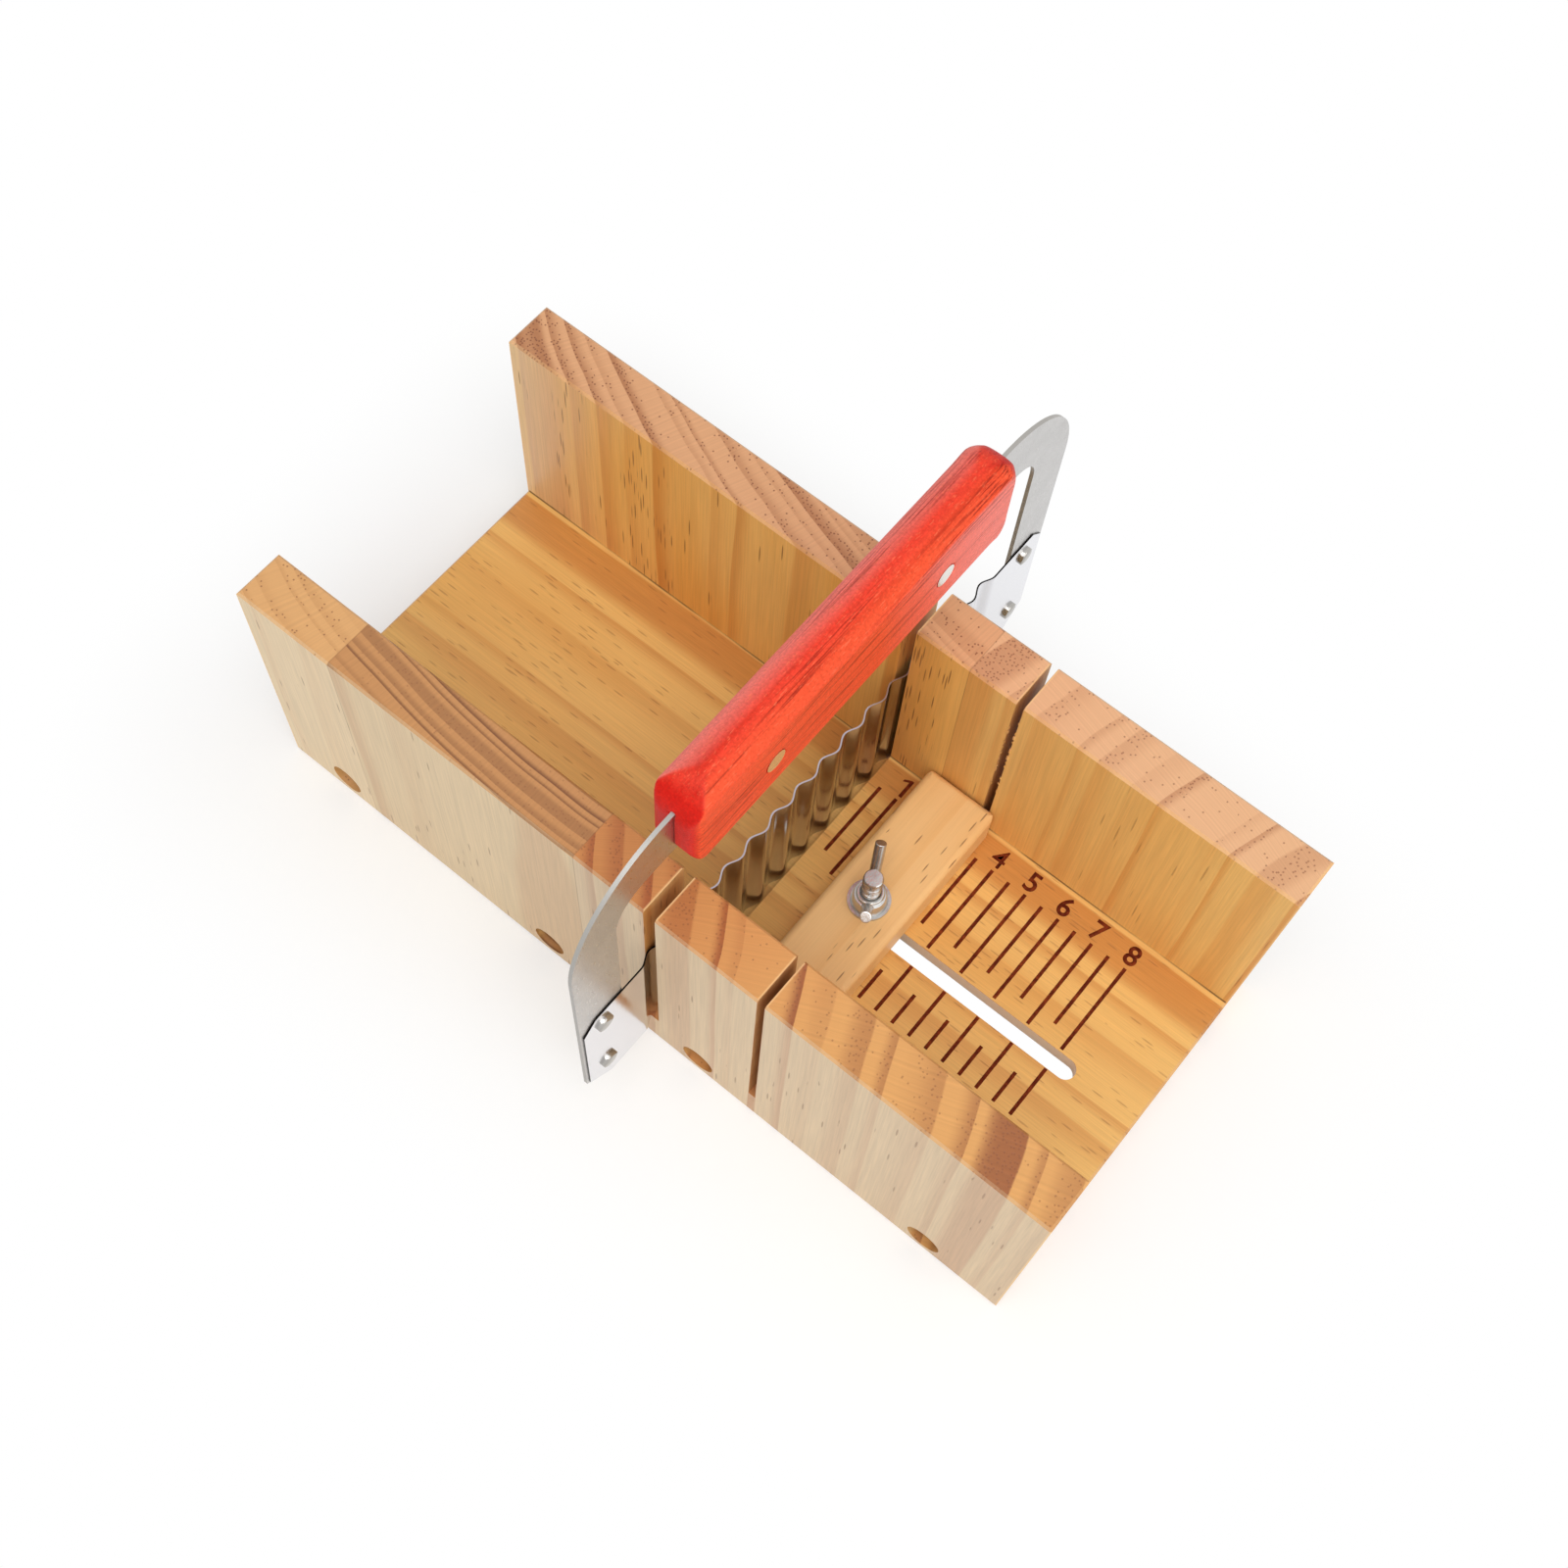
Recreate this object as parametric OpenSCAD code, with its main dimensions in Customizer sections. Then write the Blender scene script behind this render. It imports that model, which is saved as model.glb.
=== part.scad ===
// Wooden soap cutter: an open box that guides a wavy hand cutter across a bar
// of soap, with a sliding stop that a wing nut clamps at the wanted thickness.
// X runs along the box in the direction of the rising centimetre scale, Y runs
// across it and Z is up. The origin is the centre of the box's underside.

/* [Box] */
// Length of the box along the soap
box_length = 224; // [190:1:300]
// Clear width between the two walls
channel_width = 76.6; // [66:0.2:100]
// Thickness of each wall
wall_thickness = 13.4; // [11:0.1:18]
// Height of the walls above the table
wall_height = 77.5; // [60:0.5:90]
// Thickness of the base board
base_thickness = 15; // [13:0.5:20]
// Small bevel that eases the timber's outer edges
edge_ease = 0.6; // [0.2:0.1:1.2]
// Places of the glue lines along the front wall
front_glue_lines = [-84.2, -13];
// Place of the glue line along the back wall
back_glue_line = 24.5; // [14:0.5:34]

/* [Guide slots] */
// Place of the wide slot, which is also the zero of the scale
wide_slot_x = 8.1; // [4:0.1:10]
// Width of the wide slot, which guides the wavy cutter
wide_slot_width = 3.2; // [3:0.1:4]
// Place of the narrow slot, which guides a straight cutter
narrow_slot_x = 38.3; // [34:0.1:60]
// Width of the narrow slot
narrow_slot_width = 2; // [1.4:0.1:3]
// Height of the bottom of both slots above the table
slot_floor = 12.25; // [11.75:0.25:12.75]

/* [Wall screws] */
// Distance of the inner pair of screws from their middle
inner_screw_reach = 23.6; // [18:0.2:40]
// Distance of the outer pair of screws from their middle
outer_screw_reach = 91.6; // [60:0.2:92]
// Middle of the row of screws along the box
screw_middle = -1.8; // [-3:0.1:0]
// Height of the screws above the table
screw_height = 6.5; // [6:0.1:8]
// Diameter of the recess that hides a screw's head
recess_d = 9; // [8.6:0.1:10]
// Depth of that recess
recess_depth = 5; // [4:0.1:6]

/* [Stop] */
// Width of the stop block along the box
block_width = 20; // [16:0.5:26]
// Height of the stop block
block_height = 10.5; // [8:0.5:16]
// Place of the stop block's middle at rest
block_x = 31.5; // [28:0.1:60]
// Gap between each end of the block and the wall
block_end_gap = 0.5; // [0.3:0.1:1]
// Width of the slot that the bolt's square neck slides in
bolt_slot_width = 5.4; // [5.2:0.1:6]
// Middles of the bolt slot's round ends
bolt_slot_ends = [22.5, 91.5];
// Width of the groove under the base that the bolt's head slides in
head_groove_width = 14; // [13.6:0.2:18]
// Thickness of wood left between that groove and the base's top
slot_web = 5; // [4:0.5:6]

/* [Clamp] */
// Diameter of the bolt's thread
bolt_d = 4.9; // [4.8:0.1:5]
// Height of the bolt's end above the table
bolt_top = 39.5; // [38:0.5:44]
// Diameter of the bolt's round head
bolt_head_d = 13; // [11:0.1:13]
// Outer diameter of the washer
washer_d = 10.6; // [9:0.1:13]
// Distance from the bolt's axis to the middle of each wing's end
wing_reach = 9.6; // [8:0.1:10]
// Height of that point above the washer
wing_rise = 12; // [9:0.2:13]
// Diameter of the two round wings
wing_d = 2.8; // [2.4:0.1:3]
// Direction of the wings at rest
wing_angle = 117; // [0:1:180]

/* [Cutter] */
// Place across the box of the cutter's middle at rest
cutter_y = 9.4; // [-10:0.1:10]
// Half of the bow's outer width
bow_half = 85; // [80:0.5:90]
// Width of each of the bow's legs
leg_width = 13.8; // [12:0.1:16]
// Height of the bow's top edge above the table
bow_top = 115.3; // [112:0.1:118]
// Depth of the bow's top bar
bow_depth = 16.1; // [14:0.1:18]
// Radius of the bow's two outer corners
bow_corner = 30; // [24:1:34]
// Thickness of the bow's sheet
bow_thickness = 1; // [0.8:0.1:1.2]
// Height of the blade's top edge above the table
blade_top = 55; // [50:0.5:60]
// Thickness of the blade's sheet
blade_thickness = 0.4; // [0.3:0.05:0.5]
// Length of one wave of the blade
wave_length = 8.66; // [8:0.01:9]
// Number of whole waves
wave_count = 15; // [13:2:15]
// Depth of the waves, measured on the middle of the sheet
wave_depth = 1.5; // [1:0.1:1.6]

/* [Handle] */
// Length of the handle
handle_length = 106.5; // [104:0.5:116]
// Width of the handle
handle_width = 12; // [11:0.5:14]
// Height of the handle's underside above the table
handle_bottom = 96; // [94:0.5:97]
// Height of the edge where the flat side meets the domed top
handle_side_top = 119; // [117:0.5:120]
// Rise of the domed top above that edge
handle_crown = 3.2; // [2:0.1:4]
// Distance of each pin from the middle of the handle
pin_reach = 28; // [22:0.5:36]
// Diameter of the two handle pins
pin_d = 5.6; // [4:0.1:6.5]

/* [Hidden] */

// Reach of a cutting shape past the face that it cuts
past = 1;
curve_steps = 64;

// Box
inner_y = channel_width / 2;
outer_y = inner_y + wall_thickness;
half_length = box_length / 2;
screw_places = [for (side = [-1, 1]) for (reach = [inner_screw_reach, outer_screw_reach])
    screw_middle + side * reach];

// Screws
screw_shank_r = 1.9;
screw_head_r = 3.9;
screw_head_height = 2.2;
screw_length = 30;
screw_point = 3;
drive_arm = 4.2;
drive_width = 1;
drive_depth = 1.2;
pilot_r = 1.85;
clearance_r = 2.1;

// Stop and clamp
block_corner = 2.5;
block_top_round = 1.8;
block_bottom_round = 0.6;
block_top = base_thickness + block_height;
bore_r = 2.75;
neck_width = 5.1;
neck_height = 3.2;
head_thickness = 2.8;
head_rim = 0.6;
bolt_tip = 0.4;
washer_thickness = 1;
nut_base_r = 4.6;
nut_shoulder_r = 3.9;
nut_shoulder_height = 3.5;
nut_collar_r = 3.3;
nut_height = 5;
nut_bore_r = bolt_d / 2 + 0.05;
wing_root = [2.9, 1.8];
nut_z = block_top + washer_thickness;

// Cutter
blade_face = 8.7;
bow_back = blade_face - blade_thickness / 2 - bow_thickness;
window_corner = 9.5;
bow_chamfer = 7;
blade_half = 84.2;
blade_top_chamfer = 4;
wave_steps = 12;
wave_half = wave_length * wave_count / 2;
rivet_reach = 77.8;
rivet_heights = [22.6, 48.8];
rivet_r = 1.5;
rivet_head_r = 2.3;
rivet_head_height = 0.9;

// Handle
handle_x = bow_back + bow_thickness / 2;
handle_top = handle_side_top + handle_crown;
pin_z = bow_top - bow_depth / 2;
handle_top_round = 10;
handle_bottom_round = 8;
handle_bottom_edge = 2.4;
handle_end_corner = 3;
kerf_gap = 0.02;

// Rectangle between two corners with one bevel or radius for each corner pair
module round_rect(low, high, low_r, high_r) {
    hi_y = high[1] - high_r;
    lo_y = low[1] + low_r;
    translate([low[0], lo_y]) square([high[0] - low[0], hi_y - lo_y]);
    translate([low[0] + low_r, low[1]])
        square([high[0] - low[0] - 2 * low_r, low_r + past / 10]);
    translate([low[0] + high_r, hi_y - past / 10])
        square([high[0] - low[0] - 2 * high_r, high_r + past / 10]);
    for (x = [low[0] + low_r, high[0] - low_r])
        translate([x, lo_y]) circle(r = low_r, $fn = curve_steps);
    for (x = [low[0] + high_r, high[0] - high_r])
        translate([x, hi_y]) circle(r = high_r, $fn = curve_steps);
}

// Rectangle between two corners with all its corners bevelled
module bevel_rect(low, high, bevel) {
    polygon([
        [low[0] + bevel, low[1]], [high[0] - bevel, low[1]],
        [high[0], low[1] + bevel], [high[0], high[1] - bevel],
        [high[0] - bevel, high[1]], [low[0] + bevel, high[1]],
        [low[0], high[1] - bevel], [low[0], low[1] + bevel]
    ]);
}

// A profile drawn in Y and Z, made solid from one X to another
module along_x(from, to) {
    translate([from, 0, 0]) rotate([90, 0, 90])
        linear_extrude(to - from) children();
}

// A profile drawn in X and Z, made solid from one Y to another
module along_y(from, to) {
    translate([0, to, 0]) rotate([90, 0, 0])
        linear_extrude(to - from) children();
}

// Room of both guide slots, cut from the top of the walls into the base
module guide_slots() {
    depth = 2 * (outer_y + past);
    for (slot = [[wide_slot_x, wide_slot_width], [narrow_slot_x, narrow_slot_width]])
        translate([slot[0] - slot[1] / 2, -depth / 2, slot_floor])
            cube([slot[1], depth, wall_height]);
}

// Holes for one wall's screws: a recess, a clear hole and a pilot in the base
module screw_holes() {
    for (x = screw_places) translate([x, outer_y, screw_height]) rotate([90, 0, 0]) {
        translate([0, 0, -past]) cylinder(r = recess_d / 2, h = recess_depth + past, $fn = curve_steps);
        cylinder(r = clearance_r, h = wall_thickness + 0.2, $fn = 32);
        cylinder(r = pilot_r, h = recess_depth + screw_length, $fn = 32);
    }
}

// Stadium-shaped cut that runs along the bolt's travel
module travel_cut(ends, width, low, high) {
    for (x = ends)
        translate([x, 0, low]) cylinder(r = width / 2, h = high - low, $fn = curve_steps);
    translate([ends[0], -width / 2, low]) cube([ends[1] - ends[0], width, high - low]);
}

module base_board() {
    groove_bottom = base_thickness - slot_web;
    color("burlywood") difference() {
        intersection() {
            along_x(-half_length, half_length)
                translate([-inner_y, 0]) square([channel_width, base_thickness]);
            along_y(-inner_y, inner_y)
                bevel_rect([-half_length, 0], [half_length, base_thickness], edge_ease);
        }
        guide_slots();
        travel_cut(bolt_slot_ends, bolt_slot_width, -past, base_thickness + past);
        travel_cut(bolt_slot_ends + [1.3, -1.3], head_groove_width, -past, groove_bottom);
        for (side = [0, 1]) mirror([0, side, 0]) screw_holes();
    }
}

// One wall stands at the back; a stave is the part of it between two glue lines
module stave(from, to) {
    difference() {
        intersection() {
            along_y(inner_y, outer_y)
                bevel_rect([-half_length, 0], [half_length, wall_height], edge_ease);
            along_x(from, to)
                bevel_rect([inner_y, 0], [outer_y, wall_height], edge_ease);
        }
        guide_slots();
        screw_holes();
    }
}

module front_stave(from, to) {
    mirror([0, 1, 0]) stave(from, to);
}

module front_wall_left_stave() {
    color("wheat") front_stave(-half_length, front_glue_lines[0]);
}

module front_wall_middle_stave() {
    color("peru") front_stave(front_glue_lines[0], front_glue_lines[1]);
}

module front_wall_right_stave() {
    color("wheat") front_stave(front_glue_lines[1], half_length);
}

module back_wall_left_stave() {
    color("goldenrod") stave(-half_length, back_glue_line);
}

module back_wall_right_stave() {
    color("wheat") stave(back_glue_line, half_length);
}

// Round-headed wood screw, point up the Z axis, with its seat at zero
module wood_screw() {
    difference() {
        union() {
            translate([0, 0, -screw_head_height])
                cylinder(r1 = screw_head_r - 0.6, r2 = screw_head_r, h = 0.8, $fn = 32);
            translate([0, 0, 0.8 - screw_head_height])
                cylinder(r = screw_head_r, h = screw_head_height - 0.8, $fn = 32);
            cylinder(r = screw_shank_r, h = screw_length - screw_point, $fn = 32);
            translate([0, 0, screw_length - screw_point])
                cylinder(r1 = screw_shank_r, r2 = 0.2, h = screw_point, $fn = 32);
        }
        for (turn = [0, 90]) rotate([0, 0, turn])
            translate([-drive_arm / 2, -drive_width / 2, -screw_head_height - past])
                cube([drive_arm, drive_width, drive_depth + past]);
    }
}

module screw_row() {
    for (x = screw_places)
        translate([x, outer_y - recess_depth, screw_height]) rotate([90, 0, 0]) wood_screw();
}

module front_wall_screws() {
    color("dimgray") mirror([0, 1, 0]) screw_row();
}

module back_wall_screws() {
    color("dimgray") screw_row();
}

module stop_block() {
    half = inner_y - block_end_gap;
    left = block_x - block_width / 2;
    right = block_x + block_width / 2;
    color("navajowhite") difference() {
        intersection() {
            translate([0, 0, base_thickness]) linear_extrude(block_height)
                round_rect([left, -half], [right, half], block_corner, block_corner);
            along_x(left, right) round_rect(
                [-half, base_thickness], [half, block_top], block_bottom_round, block_top_round);
            along_y(-half, half) round_rect(
                [left, base_thickness], [right, block_top], block_bottom_round, block_top_round);
        }
        translate([block_x, 0, base_thickness - past])
            cylinder(r = bore_r, h = block_height + 2 * past, $fn = curve_steps);
    }
}

// Round-headed bolt with a square neck that keeps it from turning in its slot
module clamp_bolt() {
    seat = base_thickness - slot_web;
    cap_r = (pow(bolt_head_d / 2, 2) + pow(head_thickness - head_rim, 2))
        / (2 * (head_thickness - head_rim));
    color("silver") translate([block_x, 0, 0]) {
        intersection() {
            translate([0, 0, seat - head_thickness])
                cylinder(r = bolt_head_d / 2, h = head_thickness, $fn = curve_steps);
            translate([0, 0, seat - head_thickness + cap_r]) sphere(r = cap_r, $fn = 96);
        }
        translate([-neck_width / 2, -neck_width / 2, seat])
            cube([neck_width, neck_width, neck_height]);
        translate([0, 0, seat]) cylinder(r = bolt_d / 2, h = bolt_top - bolt_tip - seat, $fn = 48);
        translate([0, 0, bolt_top - bolt_tip])
            cylinder(r1 = bolt_d / 2, r2 = bolt_d / 2 - bolt_tip, h = bolt_tip, $fn = 48);
    }
}

module washer() {
    color("gainsboro") translate([block_x, 0, block_top]) difference() {
        cylinder(r = washer_d / 2, h = washer_thickness, $fn = curve_steps);
        translate([0, 0, -past]) cylinder(r = bore_r, h = washer_thickness + 2 * past, $fn = curve_steps);
    }
}

// Round bar that leans outwards from the boss
module wing() {
    run = [wing_reach, wing_rise] - wing_root;
    translate([wing_root[0], 0, wing_root[1]]) rotate([0, atan2(run[0], run[1]), 0])
        cylinder(r = wing_d / 2, h = norm(run), $fn = 48);
}

// Boss with a shoulder and a collar, and a wing on each side
module wing_nut() {
    color("silver") translate([block_x, 0, nut_z]) rotate([0, 0, wing_angle]) difference() {
        union() {
            cylinder(r1 = nut_base_r, r2 = nut_shoulder_r, h = nut_shoulder_height, $fn = curve_steps);
            cylinder(r = nut_collar_r, h = nut_height, $fn = curve_steps);
            wing();
            rotate([0, 0, 180]) wing();
        }
        translate([0, 0, -past]) cylinder(r = nut_bore_r, h = nut_height + 2 * past, $fn = 48);
    }
}

// Outline of the bow's arch, drawn about its middle line
module arch(half, top, corner) {
    translate([-half, slot_floor]) square([2 * half, top - corner - slot_floor]);
    translate([corner - half, slot_floor]) square([2 * (half - corner), top - slot_floor]);
    for (side = [-1, 1])
        translate([side * (half - corner), top - corner]) circle(r = corner, $fn = 128);
}

// Outline of the ends that the bow and the blade share, with bevelled corners
module end_outline(half, top, top_bevel) {
    polygon([
        [bow_chamfer - half, slot_floor], [half - bow_chamfer, slot_floor],
        [half, slot_floor + bow_chamfer], [half, top - top_bevel],
        [half - top_bevel, top], [top_bevel - half, top],
        [-half, top - top_bevel], [-half, slot_floor + bow_chamfer]
    ]);
}

module cutter_bow() {
    color("lightgray") translate([0, cutter_y, 0])
        along_x(bow_back, bow_back + bow_thickness) difference() {
            intersection() {
                arch(bow_half, bow_top, bow_corner);
                end_outline(bow_half, bow_top + past, past / 10);
            }
            translate([0, -past]) arch(bow_half - leg_width, bow_top - bow_depth + past, window_corner);
            rivet_holes();
            pin_holes();
        }
}

module rivet_holes() {
    for (side = [-1, 1]) for (z = rivet_heights)
        translate([side * rivet_reach, z]) circle(r = rivet_r + 0.03, $fn = 32);
}

module pin_holes() {
    for (side = [-1, 1])
        translate([side * pin_reach, pin_z]) circle(r = pin_d / 2 + 0.03, $fn = 48);
}

// Middle of the blade's sheet at a distance along the blade
function wave(u) = abs(u) >= wave_half
    ? blade_face
    : blade_face - wave_depth * (1 + cos(360 * u / wave_length)) / 2;
// Slope of that line, used to keep the sheet's thickness even round the waves
function wave_slope(u) = abs(u) >= wave_half
    ? 0
    : wave_depth * PI / wave_length * sin(360 * u / wave_length);
function sheet_side(u, side) = let (steep = sqrt(1 + pow(wave_slope(u), 2)))
    [wave(u) + side * blade_thickness / 2 / steep, u - side * wave_slope(u) * blade_thickness / 2 / steep];
function stations() = concat(
    [-blade_half],
    [for (i = [0 : wave_count * wave_steps]) i * wave_length / wave_steps - wave_half],
    [blade_half]);

module wavy_blade() {
    places = stations();
    last = len(places) - 1;
    color("silver") translate([0, cutter_y, 0]) difference() {
        intersection() {
            linear_extrude(blade_top + past) polygon(concat(
                [for (i = [0 : last]) sheet_side(places[i], 1)],
                [for (i = [0 : last]) sheet_side(places[last - i], -1)]));
            along_x(blade_face - wave_depth - past, blade_face + past)
                end_outline(blade_half, blade_top, blade_top_chamfer);
        }
        along_x(blade_face - past, blade_face + past) rivet_holes();
    }
}

// Shank with a low round head on each side of the bow and the blade
module rivet() {
    grip = bow_thickness + blade_thickness;
    cap_r = (pow(rivet_head_r, 2) + pow(rivet_head_height, 2)) / (2 * rivet_head_height);
    cylinder(r = rivet_r, h = grip, $fn = 32);
    for (end = [0, 1])
        translate([0, 0, end * grip]) mirror([0, 0, 1 - end]) intersection() {
            cylinder(r = rivet_head_r, h = rivet_head_height, $fn = 32);
            translate([0, 0, rivet_head_height - cap_r]) sphere(r = cap_r, $fn = 64);
        }
}

module blade_rivets() {
    color("silver") for (side = [-1, 1]) for (z = rivet_heights)
        translate([bow_back, cutter_y + side * rivet_reach, z]) rotate([0, 90, 0]) rivet();
}

// Section of the handle: flat sides, eased lower edges and a domed top
module handle_section() {
    half = handle_width / 2;
    dome_r = (half * half + handle_crown * handle_crown) / (2 * handle_crown);
    translate([handle_x, 0]) {
        intersection() {
            translate([0, handle_top - dome_r]) circle(r = dome_r, $fn = 128);
            translate([-half, handle_side_top - past]) square([handle_width, 2 * handle_crown]);
        }
        round_rect([-half, handle_bottom], [half, handle_side_top], handle_bottom_edge, 0.01);
    }
}

module handle() {
    half = handle_length / 2;
    side = handle_width / 2;
    color("firebrick") translate([0, cutter_y, 0]) difference() {
        intersection() {
            along_y(-half, half) handle_section();
            along_x(handle_x - side, handle_x + side) round_rect(
                [-half, handle_bottom], [half, handle_top], handle_bottom_round, handle_top_round);
            translate([handle_x, 0, handle_bottom]) linear_extrude(handle_top - handle_bottom)
                round_rect([-side, -half], [side, half], handle_end_corner, handle_end_corner);
        }
        translate([bow_back - kerf_gap, -half - past, handle_bottom - past])
            cube([bow_thickness + 2 * kerf_gap, handle_length + 2 * past, bow_top + past - handle_bottom]);
        for (end = [-1, 1]) translate([0, end * pin_reach, pin_z]) rotate([0, 90, 0])
            cylinder(r = pin_d / 2, h = 2 * handle_width + blade_face, $fn = 48);
    }
}

module handle_pins() {
    color("tan") for (side = [-1, 1])
        translate([handle_x - handle_width / 2, cutter_y + side * pin_reach, pin_z])
            rotate([0, 90, 0]) cylinder(r = pin_d / 2, h = handle_width, $fn = 48);
}

base_board();
front_wall_left_stave();
front_wall_middle_stave();
front_wall_right_stave();
back_wall_left_stave();
back_wall_right_stave();
front_wall_screws();
back_wall_screws();
stop_block();
clamp_bolt();
washer();
wing_nut();
cutter_bow();
wavy_blade();
blade_rivets();
handle();
handle_pins();
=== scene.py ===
"""Studio scene of a wooden soap cutter.

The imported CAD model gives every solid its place. This script dresses it: pine with growth rings and
resin ducts, a red stained handle, polished and zinc plated steel, and the fine pieces that the CAD
leaves out, such as the burnt centimetre scale, the bolt's thread and the torn fibres in the slots.
"""
import logging
import math
from contextlib import contextmanager
from dataclasses import dataclass
from enum import Enum
from functools import partial, reduce
from typing import Any, Iterator, Sequence

import bmesh
import bpy
from mathutils import Matrix, Vector


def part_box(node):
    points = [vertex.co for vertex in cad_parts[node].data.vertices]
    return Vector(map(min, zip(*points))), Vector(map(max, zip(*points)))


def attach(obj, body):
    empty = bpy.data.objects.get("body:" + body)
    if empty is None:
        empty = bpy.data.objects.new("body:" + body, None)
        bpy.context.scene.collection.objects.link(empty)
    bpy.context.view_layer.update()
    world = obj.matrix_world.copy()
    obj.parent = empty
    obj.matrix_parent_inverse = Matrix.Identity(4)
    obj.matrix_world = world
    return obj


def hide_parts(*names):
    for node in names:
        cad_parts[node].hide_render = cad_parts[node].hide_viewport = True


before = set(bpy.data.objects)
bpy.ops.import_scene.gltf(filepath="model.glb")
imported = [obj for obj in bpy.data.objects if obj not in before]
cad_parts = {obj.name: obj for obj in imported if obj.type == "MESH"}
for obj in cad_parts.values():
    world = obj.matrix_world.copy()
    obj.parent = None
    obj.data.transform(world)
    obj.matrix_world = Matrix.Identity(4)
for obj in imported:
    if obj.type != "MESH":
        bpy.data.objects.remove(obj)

LOG = logging.getLogger("soap_cutter")
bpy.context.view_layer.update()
MM = 0.001
SOFT_STEP = {"interpolation_type": "SMOOTHSTEP"}
WHITE = (1.0, 1.0, 1.0, 1.0)

# Places that the drawing of the part fixes, in millimetres
INNER_Y, OUTER_Y = 38.3, 51.7
BASE_TOP, WALL_TOP = 15.0, 77.5
BOX_END = 112.0
SLOT_FLOOR = 12.25
BLOCK_X, CUTTER_Y = 31.5, 9.4
FRONT_JOINTS, BACK_JOINT = (-84.2, -13.0), 24.5
# Each blade slot's middle along the box and its width
WIDE_SLOT, NARROW_SLOT = (8.1, 3.2), (38.3, 2.0)
# The bolt's slot: a little over half its width, its middle, and its reach to each side
BOLT_SLOT, BOLT_SLOT_X, BOLT_SLOT_REACH = 3.0, 57.0, 38.0


# What repeats in pine, in repeats per millimetre across, across and along the grain. A real fibre is
# 0.03 mm wide and is drawn over ten times as wide, so that it shows.
FIBRES = (2.6, 2.6, 0.05)
WANDER = (1 / 38, 1 / 38, 1 / 150)
CLOUDS = (1 / 22, 1 / 22, 1 / 90)
DUCT_PATCHES = (0.05, 0.05, 0.014)
DUCT_ENDS = (1.15, 1.15, 0.0)
BURNS = (0.3, 0.3, 0.09)
RAYS = 1.6
# The share of a cell that a duct fills along each axis
DUCT_FILL = 0.42
# Where in a ring the late wood is darkest, and where it ends
CREST, BRINK = 0.9, 0.94


class Axis(Enum):
    """The direction of a timber's grain."""

    X = 0
    Y = 1
    Z = 2

    @property
    def across(self) -> tuple[int, int]:
        """The two other axes, in order."""
        return tuple(i for i in range(3) if i != self.value)


def linear(hex_colour: str) -> tuple[float, float, float, float]:
    """Turns an sRGB hex colour into the linear red, green, blue and full alpha that shaders work with."""
    parts = [int(hex_colour[i : i + 2], 16) / 255 for i in (1, 3, 5)]
    return (*(p / 12.92 if p <= 0.04045 else ((p + 0.055) / 1.055) ** 2.4 for p in parts), 1.0)


class Nodes:
    """Fills a node tree. Calling it adds one node, and each method joins a few nodes."""

    def __init__(self, tree: bpy.types.NodeTree) -> None:
        """Empties the tree that gets the nodes."""
        self.tree = tree
        tree.nodes.clear()

    def __call__(self, kind: str, *values: Any, out: int | str | None = 0,
                 sockets: dict[Any, Any] | None = None, **settings: Any) -> Any:
        """Adds a node, sets its properties and fills its input sockets.

        Args:
            kind: The node's type name, and its operation if it has one. The type name of a shader
                node goes without its "ShaderNode".
            values: What goes into the inputs in order: an output socket, a plain value, or None.
            out: The number or name of the output that is wanted, or None for all of them.
            sockets: What goes into inputs that are named or numbered.
            settings: The node's own properties.

        Returns:
            The output socket, or all of the node's outputs.
        """
        kind, _, operation = kind.partition(" ")
        whole = kind.startswith(("GeometryNode", "FunctionNode", "NodeGroup"))
        node = self.tree.nodes.new(kind if whole else "ShaderNode" + kind)
        if operation:
            node.operation = operation
        for name, value in settings.items():
            setattr(node, name, value)
        for key, value in [*enumerate(values), *(sockets or {}).items()]:
            if isinstance(value, bpy.types.NodeSocket):
                self.tree.links.new(value, node.inputs[key])
            elif value is not None:
                node.inputs[key].default_value = value
        return node.outputs if out is None else node.outputs[out]

    def apart(self, value: Any, centre: float) -> Any:
        """Measures how far a value lies from a centre, on either side."""
        return self("Math ABSOLUTE", self("Math SUBTRACT", value, centre))

    def folded(self, operation: str, *values: Any) -> Any:
        """Puts one operation between several values, as in a × b × c."""
        return reduce(lambda first, second: self("Math " + operation, first, second), values)

    def mottle(self, point: Any, often: Sequence[float], detail: float = 2.0, rough: float = 0.5) -> Any:
        """Makes noise that repeats a given number of times per unit along each axis."""
        scaled = self("VectorMath MULTIPLY", point, often)
        return self("TexNoise", scaled, sockets={"Scale": 1.0, "Detail": detail, "Roughness": rough})

    def tinted(self, colour: Any, *layers: tuple[Any, Any]) -> Any:
        """Lays tints over a colour, one after the other.

        Args:
            colour: What lies underneath: a socket, linear values or a hex colour.
            layers: How much of each tint shows, and the tint, given in the same way.

        Returns:
            The mixed colour.
        """
        for share, tint in layers:
            under, over = (linear(c) if isinstance(c, str) else c for c in (colour, tint))
            colour = self("Mix", sockets={0: share, 6: under, 7: over}, out=2, data_type="RGBA")
        return colour

    def seen(self) -> Any:
        """Tells rays that come from the camera, straight or by metal or glass, from those that light."""
        rays, kinds = self("LightPath", out=None), ("Camera", "Glossy", "Transmission")
        return self.folded("MAXIMUM", *(rays[f"Is {kind} Ray"] for kind in kinds))


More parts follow.
